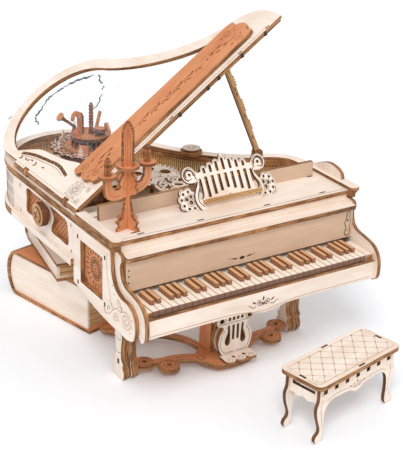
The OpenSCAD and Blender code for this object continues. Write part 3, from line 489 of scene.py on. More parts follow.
def spiral(c, r0, r1, start, turns, flip=1):
    n = max(10, int(turns * 22))
    return [polar(r0 + (r1 - r0) * (k / n), start + flip * 360 * turns * (k / n), c) for k in range(n + 1)]


def leaf(c, angle, length, width):
    """Leaf outline that starts at c and points along the angle."""
    ca, sa = tilted(angle)
    side = ((0, 0), (0.25, 0.36), (0.5, 0.5), (0.75, 0.34), (1, 0), (0.75, -0.34), (0.5, -0.5), (0.25, -0.36))
    return [(c[0] + x * length * ca - y * width * sa, c[1] + x * length * sa + y * width * ca)
        for x, y in side]


def clipped(a, b, box):
    """The part of the line a-b inside the box, or None."""
    t0, t1 = 0.0, 1.0
    d = (b[0] - a[0], b[1] - a[1])
    for i in (0, 1):
        ta, tb = (box[0][i] - a[i]) / d[i], (box[1][i] - a[i]) / d[i]
        t0, t1 = max(t0, min(ta, tb)), min(t1, max(ta, tb))
    if t1 - t0 < 0.02:
        return None
    return [(a[0] + t * d[0], a[1] + t * d[1]) for t in (t0, t1)]


# ---- flat places ----
class Flat:
    """A flat place: its origin in millimetres, two directions in it and the direction off it."""

    def __init__(self, origin, u, v, n):
        self.o, self.u, self.v, self.n = (Vector(a) for a in (origin, u, v, n))

    def at(self, a, b, h=0.0):
        return (self.o + a * self.u + b * self.v + h * self.n) * MM


def level(at, z):
    """Looks up; its first axis is X and its second Y."""
    return Flat((at[0], at[1], z), X, Y, Z)


def side_face(s, x, y=0, z=0):
    """Looks to the bass side (s is -1) or to the treble side (s is 1); its axes are Y and Z."""
    return Flat((x, y, z), Y, Z, (s, 0, 0))


def front_face(x, y, z):
    """Looks at the player; its axes are X and Z."""
    return Flat((x, y, z), X, Z, (0, -1, 0))


def standing(at, z, turn):
    """A standing sheet, turned by so many degrees about Z."""
    c, s = tilted(turn)
    return Flat((at[0], at[1], z), (c, s, 0), Z, (s, -c, 0))


def lid_flat(h):
    """The lid's plane at height h: X runs along the lid from the hinge, Y is the case's."""
    return Flat(LID_HINGE + h * Vector(LID_NORMAL), ALONG_LID, Y, LID_NORMAL)


def desk_flat(depth):
    """The music desk's plane, so deep behind its front."""
    return Flat(Vector((5, 14, RIM_TOP)) - depth * Vector(DESK_NORMAL), X, DESK_UP, DESK_NORMAL)


# ---- carving ----
class Carving:
    """Many small closed solids gathered in one piece."""

    def __init__(self):
        self.mesh = bmesh.new()

    def join(self, rows, closed=False):
        """Skins equal rings of vertices, and caps both ends unless the rings close on themselves."""
        n = len(rows[0])
        for a, b in zip(rows, rows[1:] + rows[:1] if closed else rows[1:]):
            for i in range(n):
                self.mesh.faces.new((a[i], a[(i + 1) % n], b[(i + 1) % n], b[i]))
        if not closed:
            self.mesh.faces.new(rows[0][::-1])
            self.mesh.faces.new(rows[-1])

    def solid(self, rings):
        """Closed solid through equal rings of points."""
        self.join([[self.mesh.verts.new(p) for p in ring] for ring in rings])

    def prism(self, flat, outline, low=-0.1, high=0.05):
        """The outline, from low to high off the flat place."""
        self.solid([[flat.at(a, b, h) for a, b in outline] for h in (low, high)])

    def dot(self, flat, c, r, *heights, n=10):
        self.prism(flat, circle(c, r, n), *heights)

    def line(self, flat, points, width=PEN, low=-0.1, high=0.05, closed=False):
        """A line of even width through the points."""
        p = [Vector(a) for a in points]
        n = len(p)
        rows = []
        for i in range(n):
            before = p[i - 1] if (closed or i > 0) else p[i]
            after = p[(i + 1) % n] if (closed or i < n - 1) else p[i]
            d = after - before
            side = Vector((-d.y, d.x)).normalized() * width / 2
            left, right = p[i] + side, p[i] - side
            rows.append([self.mesh.verts.new(flat.at(q.x, q.y, h))
                for q, h in ((left, low), (right, low), (right, high), (left, high))])
        self.join(rows, closed)

    def ring(self, flat, c, r, width=PEN, n=28, *heights):
        self.line(flat, circle(c, r, n), width, *heights, closed=True)

    def wreath(self, flat, r, count, length, width, start=0):
        """Leaves round the flat place's origin, each pointing away from it."""
        for k in range(count):
            a = start + 360 / count * k
            self.prism(flat, leaf(polar(r, a), a, length, width))

    def both(self, flat, points, width=PEN):
        """A smooth curve and its mirror image."""
        for s in (-1, 1):
            self.line(flat, mirrored(smooth(points), s), width)

    def tube(self, path, radius, n=8):
        """Round rod along 3-D points in millimetres."""
        rings = []
        for i, p in enumerate(path):
            d = (Vector(path[min(i + 1, len(path) - 1)]) - Vector(path[max(i - 1, 0)])).normalized()
            side = d.cross(Vector((0.31, 0.2, 0.93))).normalized()
            up = side.cross(d)
            turns = [2 * math.pi * k / n for k in range(n)]
            rings.append([(Vector(p) + radius * (math.cos(t) * side + math.sin(t) * up)) * MM for t in turns])
        self.solid(rings)

    def scrolls(self, flat, c, size, width=PEN):
        """Two mirrored spirals with a leaf between them."""
        for s in (-1, 1):
            centre = (c[0] + s * size * 0.62, c[1])
            self.line(flat, spiral(centre, size * 0.5, size * 0.08, 180 if s > 0 else 0, 1.6, s), width)
            outer = (c[0] + s * size * 1.15, c[1] - size * 0.1)
            self.prism(flat, leaf(outer, 90 - 60 * s, size * 0.8, size * 0.26))
        self.prism(flat, leaf((c[0], c[1] + size * 0.1), 90, size * 0.8, size * 0.3))
        for s in (-1, 0, 1):
            self.dot(flat, (c[0] + s * size * 0.34, c[1] - size * 0.45), size * 0.09)

    def lattice(self, flat, box, pitch, width, dots=0.0):
        """Two sets of slanting lines, with a dot at each crossing where asked."""
        (x0, y0), (x1, y1) = box
        w, h = x1 - x0, y1 - y0
        for s in (-1, 1):
            c = -h
            while c < w + h:
                part = clipped((x0 + c, y0), (x0 + c + s * h, y1), box)
                if part:
                    self.line(flat, part, width)
                c += pitch
        if dots:
            for j in range(int(h * 2 / pitch) + 2):
                y = y0 + j * pitch / 2
                x = x0 + ((j % 2) / 2 - math.floor(h / pitch)) * pitch + (-h) % pitch
                while x < x1:
                    if x0 + 0.4 < x < x1 - 0.4 and y0 + 0.4 < y < y1 - 0.4:
                        self.dot(flat, (x, y), dots, n=8)
                    x += pitch

    def done(self, name, mat=None, slot="birch_ply", body="piano"):
        """Makes the piece of what has been carved."""
        bmesh.ops.recalc_face_normals(self.mesh, faces=self.mesh.faces)
        data = bpy.data.meshes.new(name)
        self.mesh.to_mesh(data)
        self.mesh.free()
        data.materials.append(mat or engraved())
        obj = bpy.data.objects.new(name, data)
        bpy.context.scene.collection.objects.link(obj)
        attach(obj, body)
        return obj


# ---- the case ----
TAIL_R = 53.0
TAIL_AT = Vector((-HALF_W + TAIL_R, 143.0))


def bezier(a, b, c, d, n):
    a, b, c, d = (Vector(q) for q in (a, b, c, d))
    out = []
    for k in range(1, n + 1):
        t = k / n
        s = 1 - t
        out.append(s ** 3 * a + 3 * s * s * t * b + 3 * s * t * t * c + t ** 3 * d)
    return out


def rim_path():
    """The plan of the curved rim, from the bass side round the tail to the treble side."""
    tail = [TAIL_AT + TAIL_R * Vector(tilted(180 - 8 * k)) for k in range(21)]
    end = tail[-1]
    waist = bezier(end, end + Vector((8, -28)), (43.4, 91.9), (70, 83.5), 14)
    shoulder = bezier((70, 83.5), (85, 79), (HALF_W, 72), (HALF_W, 58), 8)
    return tail + waist + shoulder


def evenly(path, step):
    """Places along the path, each with its direction."""
    out = []
    ahead = step / 2
    for a, b in zip(path, path[1:]):
        d = b - a
        while ahead < d.length:
            out.append((a + d * (ahead / d.length), d.normalized()))
            ahead += step
        ahead -= d.length
    return out


def bent_side_cuts():
    """Rows of slits that let the side bend, seen on both faces."""
    outside, inside = Carving(), Carving()
    rows = ((81.0, 88.6), (89.6, 97.2), (98.2, 105.2))
    lowest, highest = 80.4, 105.6
    for i, (p, d) in enumerate(evenly(rim_path(), 1.55)):
        out = Vector((-d.y, d.x))
        for k, (low, high) in enumerate(rows):
            shift = 1.6 if (i + k) % 2 else 0.0
            lo, hi = max(low - shift, lowest), min(high - shift + 0.4, highest)
            for work, at, n in ((outside, p, out), (inside, p - out * SHEET, -out)):
                flat = Flat((at.x, at.y, 0), (d.x, d.y, 0), Z, (n.x, n.y, 0))
                work.prism(flat, [(-0.24, lo), (0.24, lo), (0.24, hi), (-0.24, hi)], -0.2, 0.05)
    outside.done("bent_side_slits", slot="flexed_ply")
    inside.done("bent_side_inner_slits", slot="flexed_ply")


def cheek_detail():
    """Scrolls and peg ends on the cheeks, and the flower cut in their orange panels."""
    work, flowers, pegs = Carving(), Carving(), Carving()
    for s in (-1, 1):
        flat = side_face(s, s * HALF_W)
        for y in (7.0, 43.6):
            for z in (66.0, 98.6):
                pegs.prism(flat, rect(y, z, 0.9, 1.5))
        work.line(flat, spiral((-20.5, 66.6), 6.4, 0.8, 60, 2.2), BROAD)
        work.line(flat, spiral((-7.4, 63.4), 3.6, 0.5, 200, 1.8, -1))
        work.line(flat, spiral((-11.4, 74.6), 3.0, 0.5, 10, 1.7))
        vine = [(-17.3, 72.2), (-13, 70), (-9, 70.6), (-4.8, 68), (1, 62.6), (8, 60.6)]
        work.line(flat, smooth(vine), BROAD)
        work.line(flat, smooth([(-1, 70), (0.4, 78), (3.4, 86), (4.4, 96), (4, 103)]))
        for x, z, a in ((-14.4, 70.6, 100), (-3.6, 67.6, 60), (-1, 65.8, 30), (2.4, 63.4, 70),
                (5.6, 61.8, 40)):
            work.prism(flat, leaf((x, z), a, 4.2, 1.1))
        for c in ((-25.6, 61), (-28, 66), (-27.6, 71), (-5, 78.6), (-3.4, 84)):
            work.dot(flat, c, 0.5)
        panel = side_face(s, s * 91.72, 25, 82.4)
        flowers.ring(panel, (0, 0), 2.4, BROAD)
        flowers.dot(panel, (0, 0), 0.9)
        flowers.wreath(panel, 3.1, 20, 5.2, 1.25)
        flowers.wreath(panel, 9.2, 20, 3.8, 1.3)
        for a in range(9, 360, 18):
            flowers.dot(panel, polar(7.8, a), 0.5, n=8)
        flowers.ring(panel, (0, 0), 13.7, FINE, 48)
        for cx, cy in ((-14, -14), (-14, 14), (14, -14), (14, 14)):
            inward = math.degrees(math.atan2(-cy, -cx))
            for d in (-30, 0, 30):
                flowers.prism(panel, leaf((cx, cy), inward + d, 3.6, 0.9))
    work.done("cheek_engraving", engraved(BURNT))
    pegs.done("cheek_pegs", engraved(CHAR))
    flowers.done("sunburst_cuts", slot="stained_ply")


def wall_detail():
    """The net cut in the bass wall's two orange panels, and the wall's own marks round the knob."""
    net, lines = Carving(), Carving()
    panel = side_face(-1, -HALF_W + SHEET)
    for y0, y1 in ((54.8, 83.4), (92.9, 123.8)):
        net.lattice(panel, ((y0, 82.4), (y1, 105.6)), 3.9, 0.42)
    net.done("lattice_cuts", slot="stained_ply")
    wall = side_face(-1, -HALF_W)
    for y in (53, 131):
        for z in (84, 102.6):
            lines.prism(wall, rect(y, z, 0.6, 1.3))
    lines.line(wall, circle(KNOB_AT, 9.4, 40, -60, 240))
    lines.done("wall_engraving", engraved(BURNT))


def knob_detail():
    """Ribs round the knob's grip, and two rings and a cross on its face."""
    grip, face = Carving(), Carving()
    shoulder = side_face(-1, KNOB_FRONT + 1.1, *KNOB_AT)
    for k in range(30):
        c, s = tilted(12 * k)
        root, tip = (7.75, 0.35), (8.25, 0.22)
        rib = [(r * c - w * s, r * s + w * c) for r, w in (root, tip, (tip[0], -tip[1]), (root[0], -root[1]))]
        grip.prism(shoulder, rib, -4.9, 0.0)
    face.ring(shoulder, (0, 0), 7.1, BROAD, 40)
    top = side_face(-1, KNOB_FRONT, *KNOB_AT)
    face.ring(top, (0, 0), 4.7, PEN, 32)
    for k, a in enumerate((20, 110)):
        face.line(top, [polar(-3.2, a), polar(3.2, a)], 1.3, -0.1, 0.06 + 0.02 * k)
    grip.done("knob_grip", slot="tan_ply", body="knob")
    face.done("knob_engraving", slot="tan_ply", body="knob")


def front_detail():
    """Crest and line of the key slip, and the fall board's mark and hinge scroll."""
    slip = front_face(-3, -36.2, 64.6)
    crest = Carving()
    crest.scrolls(slip, (0, 0.2), 4.8, HEAVY)
    crest.both(slip, [(5.6, -2.0), (8, -2.8), (10, -1.0)], HEAVY)
    for s in (-1, 1):
        crest.dot(slip, (s * 11, -0.8), 0.45)
        crest.prism(slip, leaf((s * 1.0, -1.6), 90 + s * 64, 3.2, 1.0))
        crest.dot(slip, (s * 2.9, 0.2), 0.5)
    crest.done("keyslip_crest")
    work = Carving()
    right = [(4, -6.2), (12, -5.0), (22, -3.6), (40, -3.2), (88, -3.2)]
    work.line(slip, smooth(mirrored(right[::-1], -1) + right), FINE)
    work.done("keyslip_engraving", engraved(BURNT))
    mark = Carving()
    board = front_face(-2.2, FALLBOARD_FRONT, 84.4)
    mark.prism(board, leaf((-2.4, 0), 0, 4.8, 2.4))
    for s in (-1, 1):
        mark.prism(board, leaf((s * 3.2, 0), 90 - s * 82, 5.4, 1.1))
        mark.dot(board, (s * 9.6, 0.9), 0.45)
    hinge = front_face(83.4, FALLBOARD_FRONT, 90)
    wave = smooth([(2, 9), (0.4, 8.4), (0.2, 4), (-1, 1), (0.2, -2), (-0.6, -7), (1, -8.6), (2.4, -8)])
    mark.line(hinge, wave, 0.6)
    mark.line(hinge, [(3.4 - 0.7 * x, z) for x, z in wave], 0.45)
    for z, r in ((-4.6, 0.45), (2.6, 0.8), (6, 0.45)):
        mark.dot(hinge, (1.4, z), r)
    mark.done("fallboard_engraving", engraved(CHAR), "tan_ply")


def top_detail():
    """Peg slots in the top of the case, and the raised strips along its sides."""
    slots = Carving()
    top = level((0, 0), RIM_TOP)
    front = [(x, 2.6, 5) for x in (-72, -28, 24, 70)]
    for x, y, w in front + [(-74, 5.8, 6.4), (80, 30, 5), (-84, 38, 4)]:
        slots.prism(top, rect(x, y, w / 2, 0.65))
    slots.line(top, [(-88, 0.4), (88, 0.4)], FINE)
    cheek = front_face(0, FALLBOARD_FRONT, 0)
    for z in (86, 90.4, 94.6):
        slots.dot(cheek, (-86.8, z), 0.6)
    slots.done("top_board_slots", engraved(CHAR))
    battens = Carving()
    for s in (-1, 1):
        tip = [(s * (92.4 + 3.8 * math.cos(a)), -4.6 - 2.2 * math.sin(a)) for a in (0, 0.8, 1.57, 2.34, 3.14)]
        battens.prism(top, tip + [(s * 88.6, 45.4), (s * 96.2, 45.4)], 0.0, 2.4)
    cut_edges(battens.done("side_battens", ply_face(CREAM, Y, Z)), ply_edge(BURNT, Z), 3.2)


def desk_detail():
    """Lines that follow the music desk's arches, curls and lobes, and grooves along its ledge."""
    work = Carving()
    flat = desk_flat(0.0)
    work.both(flat, [(21.6, 2.4), (24.4, 6), (24.2, 11), (21.6, 15.6), (20.8, 19), (22.8, 22), (24, 26.4),
        (27.4, 28.6), (30.4, 26.6), (31, 23.6), (28.6, 21.4), (26, 22.2)], HEAVY)
    for s in (-1, 1):
        work.line(flat, circle((s * 27, 24.8), 4.5, 30, 90 - 160 * s, 90 + 130 * s))
        work.dot(flat, (s * 20.2, 4.4), 0.7)
    for k in range(-3, 4):
        work.line(flat, circle((5.15 * k, 31.2 - 1.5 * abs(k)), 1.85, 14, 0, 180), FINE)
        work.dot(flat, (5.15 * k, 7.6 - 0.9 * abs(k)), 0.45)
    wing = desk_flat(2.02)
    lobes = ((28, 2.4, 200, 340), (32, 2.6, 230, 360), (35.4, 5.4, 260, 400), (36.2, 9.8, 290, 430),
        (34.2, 13.8, 330, 480), (30, 15, 20, 170))
    for s in (-1, 1):
        for x, z, a0, a1 in lobes:
            turn = (a0, a1) if s > 0 else (180 - a0, 180 - a1)
            work.line(wing, circle((s * x, z), 1.75, 16, *turn))
        work.ring(wing, (s * 29.6, 7.2), 2.5, PEN, 18)
        work.line(wing, circle((s * 32.4, 9.8), 1.9, 16, 90 - 150 * s, 90 + 90 * s), FINE)
        work.line(wing, circle((s * 28.8, 11), 1.9, 16, 90 - 90 * s, 90 + 150 * s), FINE)
    work.done("desk_engraving", engraved(CHAR))
    ledge = Carving()
    for z in (4.8, 5.8):
        ledge.line(desk_flat(-5.1), [(-21.6, z), (21.6, z)])
    ledge.done("ledge_grooves", slot="tan_ply")


# ---- the lid and its prop ----
def beam_detail():
    """Spirals, leaves and dots on the lid's long orange beam."""
    beam = Carving()
    top = lid_flat(5.0)
    mid = 64
    for end, flip in ((26, 1), (158, -1)):
        ahead = 0 if flip > 0 else 180
        for y in (57.6, 70.4):
            beam.line(top, spiral((end, y), 3.4, 0.5, 90 * flip, 1.7, flip if y > mid else -flip))
            beam.prism(top, leaf((end + flip * 4, y), ahead, 3.6, 1.1))
            beam.dot(top, (end - flip * 4.6, mid + 0.55 * (y - mid)), 0.6)
        for k in range(4):
            at = (end + flip * (6 + 3.6 * k), mid + (1.6 if k % 2 else -1.6))
            beam.prism(top, leaf(at, ahead, 4.6, 1.5))
        wave = [(end + flip * x, y) for x, y in ((-3, 64), (4, 61.6), (12, 66.4), (21, 63.4))]
        beam.line(top, smooth(wave), HEAVY)
    for k in range(11):
        at, s = (72 + 5.2 * k, mid), 1 if k % 2 else -1
        beam.prism(top, leaf(at, 38 * s, 4.6, 1.3))
        beam.prism(top, leaf(at, 142 * s, 3.2, 1.0))
    beam.line(top, smooth([(66, 64), (80, 65.6), (98, 62.6), (114, 65.4), (130, 64)]))
    for x in (62, 134):
        beam.dot(top, (x, mid), 0.9)
    beam.done("beam_engraving", engraved(BEAM_LINE), "stained_ply", body="lid")


def lid_detail():
    """The long curved slot with its golden inlay, the flower and the peg ends of the lid frame."""
    work, inlay = Carving(), Carving()
    face = lid_flat(2.0)
    slot = smooth([(8.4, 143.1), (12.3, 130.2), (15.1, 111.2), (16.3, 98.0), (13.6, 83.2)])
    work.line(face, slot, 2.4, -0.2, 0.06)
    for i in range(1, len(slot) - 1, 2):
        x, y = slot[i]
        inlay.dot(face, (x + (0.35 if i % 4 == 1 else -0.35), y), 0.5, 0.0, 0.1)
    work.line(face, [(x - 2.6, y) for x, y in slot[2:-2]], FINE)
    for x, y, a in ((5.4, 138, 60), (5.4, 138, 110), (6.0, 132, 70), (6.0, 132, -60), (8.0, 125, 80),
            (7.4, 119, 120), (7.4, 119, 60), (8.4, 112, -80)):
        work.prism(face, leaf((x, y), a, 3.6, 1.3))
    bloom = (9.4, 64.0)
    work.ring(face, bloom, 1.5, BROAD, 16)
    for a in range(0, 360, 36):
        work.line(face, leaf(polar(1.9, a, bloom), a, 3.6, 1.7), HAIR, closed=True)
    work.ring(face, bloom, 6.4, HAIR, 36)
    for a in (45, 135, 225, 315):
        work.dot(face, polar(7.6, a, bloom), 0.5)
    for x, flip in ((4.4, 1), (14.4, -1)):
        work.line(face, spiral((x, 53.2), 2.2, 0.4, 90, 1.5, flip), FINE)
    work.line(face, [(24, 48.6), (176, 48.6)], FINE)
    for x, y in ((40, 47.6), (86, 47.6), (150, 47.6), (176, 47.6), (24, 191)):
        work.prism(face, rect(x, y, 1.6, 0.5))
    work.done("lid_engraving", body="lid")
    inlay.done("lid_inlay", engraved(GOLD), body="lid")
    pegs = Carving()
    front = Flat(LID_HINGE + Vector((0, 46.5, 0)), ALONG_LID, LID_NORMAL, (0, -1, 0))
    for x in (30, 60, 92, 118, 128, 150, 172):
        pegs.prism(front, rect(x, -0.05, 1.1, 1.65), -1.6, 0.04)
    pegs.done("lid_pegs", engraved(CHAR), body="lid")


def inside_pane(p):
    """True where the lid's window is open, a little inside its edge."""
    margin = 12
    path = [Vector((q.x - LID_HINGE.x, q.y)) for q in rim_path()]
    x, y = p
    if y < 80 or x < 28:
        return False
    for a, b in zip(path[18:], path[19:]):
        if min(a.y, b.y) <= y <= max(a.y, b.y):
            return x < a.x + (b.x - a.x) * (y - a.y) / ((b.y - a.y) or 1) - margin
    return (Vector((x + LID_HINGE.x, y)) - TAIL_AT).length < TAIL_R - margin


def pane_detail():
    """The jagged dark outline and the faint net printed on the clear pane."""
    sheet = lid_flat(-0.06)
    pane = Carving()
    zigzag = ((32, 160), (35, 168), (37, 172), (43, 172), (51, 178), (56, 176.6), (62, 176.6), (65, 173.6),
        (71, 173), (78, 166), (84, 160.6), (88, 154), (84.4, 144), (82.4, 138), (77, 131), (68, 125),
        (64.4, 124))
    heavy, broken = {2, 4, 6, 8, 9}, {10, 12, 13}
    for i, (a, b) in enumerate(zip(zigzag, zigzag[1:])):
        a, b = Vector(a), Vector(b)
        d = (b - a) * (0.4 if i in broken else 1)
        jag = Vector((-d.y, d.x)).normalized() * (0.9 if i % 2 else -0.9)
        path = [a, a + 0.34 * d + jag, a + 0.66 * d - jag, a + d]
        pane.line(sheet, path, 2.4 if i in heavy else 1.2, -0.02, 0.02)
    pane.done("pane_print", ink("pane_ink", 900.0, (66, 66, 74), (116, 118, 128)), "acrylic", body="lid")
    net = Carving()
    threads = [[(x, y + 1.6 * math.sin(x * 0.22 + y)) for x in range(30, 120, 5)] for y in range(92, 190, 6)]
    threads += [[(x + 1.5 * math.sin(y * 0.2 + x), y) for y in range(82, 192, 5)] for x in range(32, 150, 7)]
    for thread in threads:
        run = [p for p in thread if inside_pane(p)]
        if len(run) > 2:
            net.line(sheet, run, 0.16, -0.02, 0.015)
    faint = ink("pane_fine_ink", 300.0, (188, 192, 204), (214, 216, 224), 0.35)
    net.done("pane_net", faint, "acrylic", body="lid")


def prop_detail():
    """A line and a row of leaves up both faces of the prop."""
    work = Carving()
    for y, s in ((edge_of("lid_prop", 0, 1), -1), (edge_of("lid_prop", 1, 1), 1)):
        flat = Flat((70, y, 115.2), PROP_ACROSS, PROP_UP, (0, s, 0))
        work.line(flat, [(-1.1, 5), (-1.1, 88)], BROAD)
        for z in (12, 31, 50, 54, 70, 78):
            work.prism(flat, leaf((0.2, z), 90, 4.0, 1.0))
    work.done("prop_engraving", body="prop")


# ---- the bench ----
def bench_detail():
    """Quilting on the seat, peg ends, and scrolls on both aprons."""
    quilt = Carving()
    top = Flat((*BENCH_AT, BENCH_TOP), ALONG_BENCH, ACROSS_BENCH, Z)
    half_x, half_y = 36.4, 13.4
    quilt.lattice(top, ((-half_x, -half_y), (half_x, half_y)), 10.4, 0.27, 0.55)
    quilt.line(top, rect(0, 0, half_x, half_y), closed=True)
    for x in (-38.2, 38.2):
        quilt.line(top, [(x, -12.6), (x, 12.6)], FINE)
    quilt.done("bench_quilting", engraved(QUILT_LINE), body="bench")
    pegs = Carving()
    for y in (15.2, -15.2):
        pegs.prism(top, rect(1.2, y, 3, 0.7))
    for x in (-37.2, 37.2):
        pegs.prism(top, rect(x, 0, 0.8, 2.6))
    pegs.done("bench_pegs", engraved(CHAR), body="bench")
    apron = Carving()
    for s in (-1, 1):
        out = s * Vector(ACROSS_BENCH)
        flat = Flat(Vector((*BENCH_AT, 0)) + 14.0 * out, ALONG_BENCH, Z, out)
        apron.scrolls(flat, (0, 28.6), 4.2)
        apron.both(flat, [(33.4, 30), (34.6, 24), (33.2, 16), (32.6, 9)], FINE)
        apron.both(flat, [(7, 28.4), (14, 29.4), (24, 29.2), (29, 27)], FINE)
        for side in (-1, 1):
            apron.line(flat, spiral((side * 33.8, 34.4), 1.9, 0.3, 40, 1.5, side), FINE)
    apron.done("bench_carving", engraved(BURNT), body="bench")


# ---- under the case ----
def stretcher_detail():
    """Spirals on the orange stretcher, and lines on the pedal lyre and its three pedals."""
    work = Carving()
    flat = level((UNDER_X, 0), 7.0)
    for s in (-1, 1):
        for c, r in (((s * 42, 8.4), 7.3), ((s * 54.6, 20.3), 6.6)):
            work.ring(flat, c, r - 1.0, 0.45, 32)
            work.line(flat, spiral(c, r - 2.0, 2.0, 90, 1.5, s), HEAVY)
        work.ring(flat, (s * 53, 75), 4.0, BROAD, 24)
        work.ring(flat, (s * 18, 6), 2.6, 0.45, 20)
    work.both(flat, [(20, 9.4), (27, 12.6), (34, 14.2)], BROAD)
    work.both(flat, [(9.4, 14), (11.5, 28), (17, 40), (27, 50), (40, 57), (48, 63)], BROAD)
    work.done("stretcher_engraving", slot="stained_ply")
    lyre = Carving()
    front = front_face(0.8, -1.58, 4.0)
    lyre.both(front, [(1, 6.2), (8, 6.2), (10.6, 9), (12, 14), (11, 19.4), (8.6, 23.6)])
    for x in (-11.2, 11.2):
        lyre.ring(front, (x, 31.2), 3.0, BROAD, 20)
    lyre.line(front, [(-9.6, 28.6), (9.6, 28.6)], FINE)
    pedal = level((0.8, 0), PEDAL_TOP)
    for x in (-8.4, 0, 8.4):
        lyre.line(pedal, [(x - 2.2, -9.4), (x, -7.4), (x + 2.2, -9.4), (x, -11.4)], BROAD, closed=True)
    lyre.done("lyre_engraving")


def leg_pegs():
    """Peg ends and curved lines on the outer faces of the front legs."""
    pegs = Carving()
    for s in (-1, 1):
        side = side_face(s, UNDER_X + s * 67.4 + s * 6.0, 22)
        for z in (50, 12):
            pegs.prism(side, rect(0, z, 1.3, 1.9))
        for z in (44, 30, 20):
            pegs.line(side, smooth([(-3.4, z), (0, z - 1.4), (3.4, z)]), FINE)
    pegs.done("leg_pegs", engraved(CHAR))


def book_pages(book, origin, degrees, w, l, bulge, high, count):
    """A stack of plywood leaves between two side boards whose backs are rounded to the spine."""
    work, boards = Carving(), Carving()
    c, s = tilted(degrees)
    along, back = Vector((c, s, 0)), Vector((-s, c, 0))
    flat = Flat(origin, along, back, Z)
    low, board = 2.42, 1.86
    pitch = (high - low) / count
    x0, x1, r = 3.1, w - 3.1, 0.4
    for k in range(count):
        y0 = 3.4 + RNG.uniform(0.0, 1.1)
        z0 = low + k * pitch
        work.prism(flat, [(x0 + r, y0), (x1 - r, y0), (x1, y0 + r), (x1, l - 6), (x0, l - 6), (x0, y0 + r)],
            z0 + 0.02, z0 + pitch - 0.34)
    core = [(3.2, 5.4), (w - 3.2, 5.4), (w - 3.2, l - 6.4), (3.2, l - 6.4)]
    work.prism(flat, core, low + 0.01, high - 0.01)
    deep = l + bulge - 2.4 - 0.36
    part = deep - bulge * 0.3
    h = low + high
    back_curve = smooth([(l - 6, high), (l - 2.4, high - 1.1), (part, h * 0.72), (deep, h * 0.5),
        (part, h * 0.28), (l - 2.4, low + 1.1), (l - 6, low)], 4)
    outline = [(x0, low), (x0, high)] + [(y, min(max(z, low), high)) for y, z in back_curve]
    for x in (1.22, w - 1.22 - board):
        boards.prism(Flat(Vector(origin) + x * along, back, Z, along), outline, 0.0, board)
    boards.done(book + "_leaves_boards", ply_face(CREAM, tuple(back), tuple(along)), "page_ply")
    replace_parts(work.done(book + "_leaves", page_wood(), "page_ply"), book + "_pages")


# ---- the movement, the stage and the candelabra ----
def instrument_detail():
    """Rings, keys, strings and bellows on the instruments, and the posts of their round stand."""
    dark = Carving()
    cx, cy = STAGE_AT

    def hoops(x, y, r, width, thick, heights):
        at = level((cx + x, cy + y), 0)
        for z in heights:
            dark.ring(at, (0, 0), r, width, 20, z, z + thick)

    hoops(1.4, -0.4, 1.52, 0.5, 0.9, [DRUM_TOP + z for z in (2.6, 6.2, 8.4, 10.8, 13.0, 15.4, 18.4, 20.6)])
    hoops(-5, 3.5, 2.22, 0.5, 0.5, [DRUM_TOP + z for z in (1.2, 4.4, 7.0, 9.6, 12.4)])
    hoops(5, -7, 3.9, 0.5, 0.3, [DRUM_TOP + 0.4 + z for z in (0.7, 2.2, 3.7)])
    sax = standing((cx - 9, cy), 0, 8)
    sax.o += 1.0 * sax.n
    for x, z in ((1.0, 3), (1.3, 5.4), (1.2, 7.8), (1.0, 10.2), (0.6, 12.6), (-3.2, 10.4)):
        dark.ring(sax, (x, DRUM_TOP + z), 0.75, FINE, 12)
    bellows = front_face(cx + 3, cy - 17.6, STAGE_FLOOR)
    for k in range(7):
        dark.line(bellows, [(1.2 + 1.1 * k, 0.4), (1.2 + 1.1 * k, 5.6)], BROAD)
    harp = standing((cx + 15.4, cy + 1), STAGE_FLOOR, 84)
    for k in range(5):
        x = -2.4 + k * 1.1
        dark.line(harp, [(x, 2.1), (x, 8.6 + 0.7 * k)], 0.2, -0.1, 0.1)
    top, low = level(STAGE_AT, DRUM_TOP), level(STAGE_AT, STAGE_FLOOR)
    dark.ring(top, (0, 0), 12.8, BROAD, 44)
    dark.wreath(low, 10.6, 24, 4.4, 1.2)
    dark.wreath(top, 9.6, 24, 2.4, 0.8)
    dark.done("instrument_keys", slot="stained_ply", body="carousel")
    posts = Carving()
    for a in range(10, 360, 30):
        x, y = polar(12.4, a, STAGE_AT)
        posts.tube([(x, y, z) for z in (STAGE_FLOOR, 115.4, 117.4, 119.4, 121)], 0.62)
    posts.done("carousel_posts", ply_edge(DARK_CUT, Z), "stained_ply", body="carousel")


def mechanism_detail():
    """Strings over the soundboard, and the engraved faces of the gears and the rosette."""
    strings = Carving()
    for k in range(15):
        x = -60 + 6.6 * k
        far = 186 - 0.026 * (x + 42) ** 2 if x < -8 else 168 - 1.55 * (x + 8)
        if far > 130:
            strings.tube([(x, y, SOUNDBOARD_TOP + 0.9) for y in (128, (128 + far) / 2, far - 6)], 0.14, 6)
    strings.done("strings", metal("string_steel", (204, 196, 180), (168, 158, 140), Y), "steel")
    bridge = Carving()
    flat = level((0, 0), SOUNDBOARD_TOP)
    for curve in (((-64, 128.4), (-48, 127.4), (-40, 128.4)), ((-2, 128.4), (12, 127.6), (24, 128.4))):
        bridge.line(flat, smooth(curve), 1.8, -0.01, 1.0)
    bridge.done("string_bridge", ply_edge(BURNT, Z))
    rosette = Carving()
    top = level((31, 108.5), ROSETTE_TOP)
    for r in (5.6, 3.6):
        rosette.ring(top, (0, 0), r, BROAD, 30)
    rosette.wreath(top, 0.8, 8, 2.4, 0.7)
    rosette.done("rosette_engraving")
    for name, at, radii in (("drive", (-9.39, 95.66), (17.6, 6.0)), ("idler", (-19.69, 123.83), (7.2, 3.4))):
        marks = Carving()
        for r in radii:
            marks.ring(level(at, GEAR_TOP), (0, 0), r, PEN, 40)
        marks.done(name + "_gear_engraving", body=name)


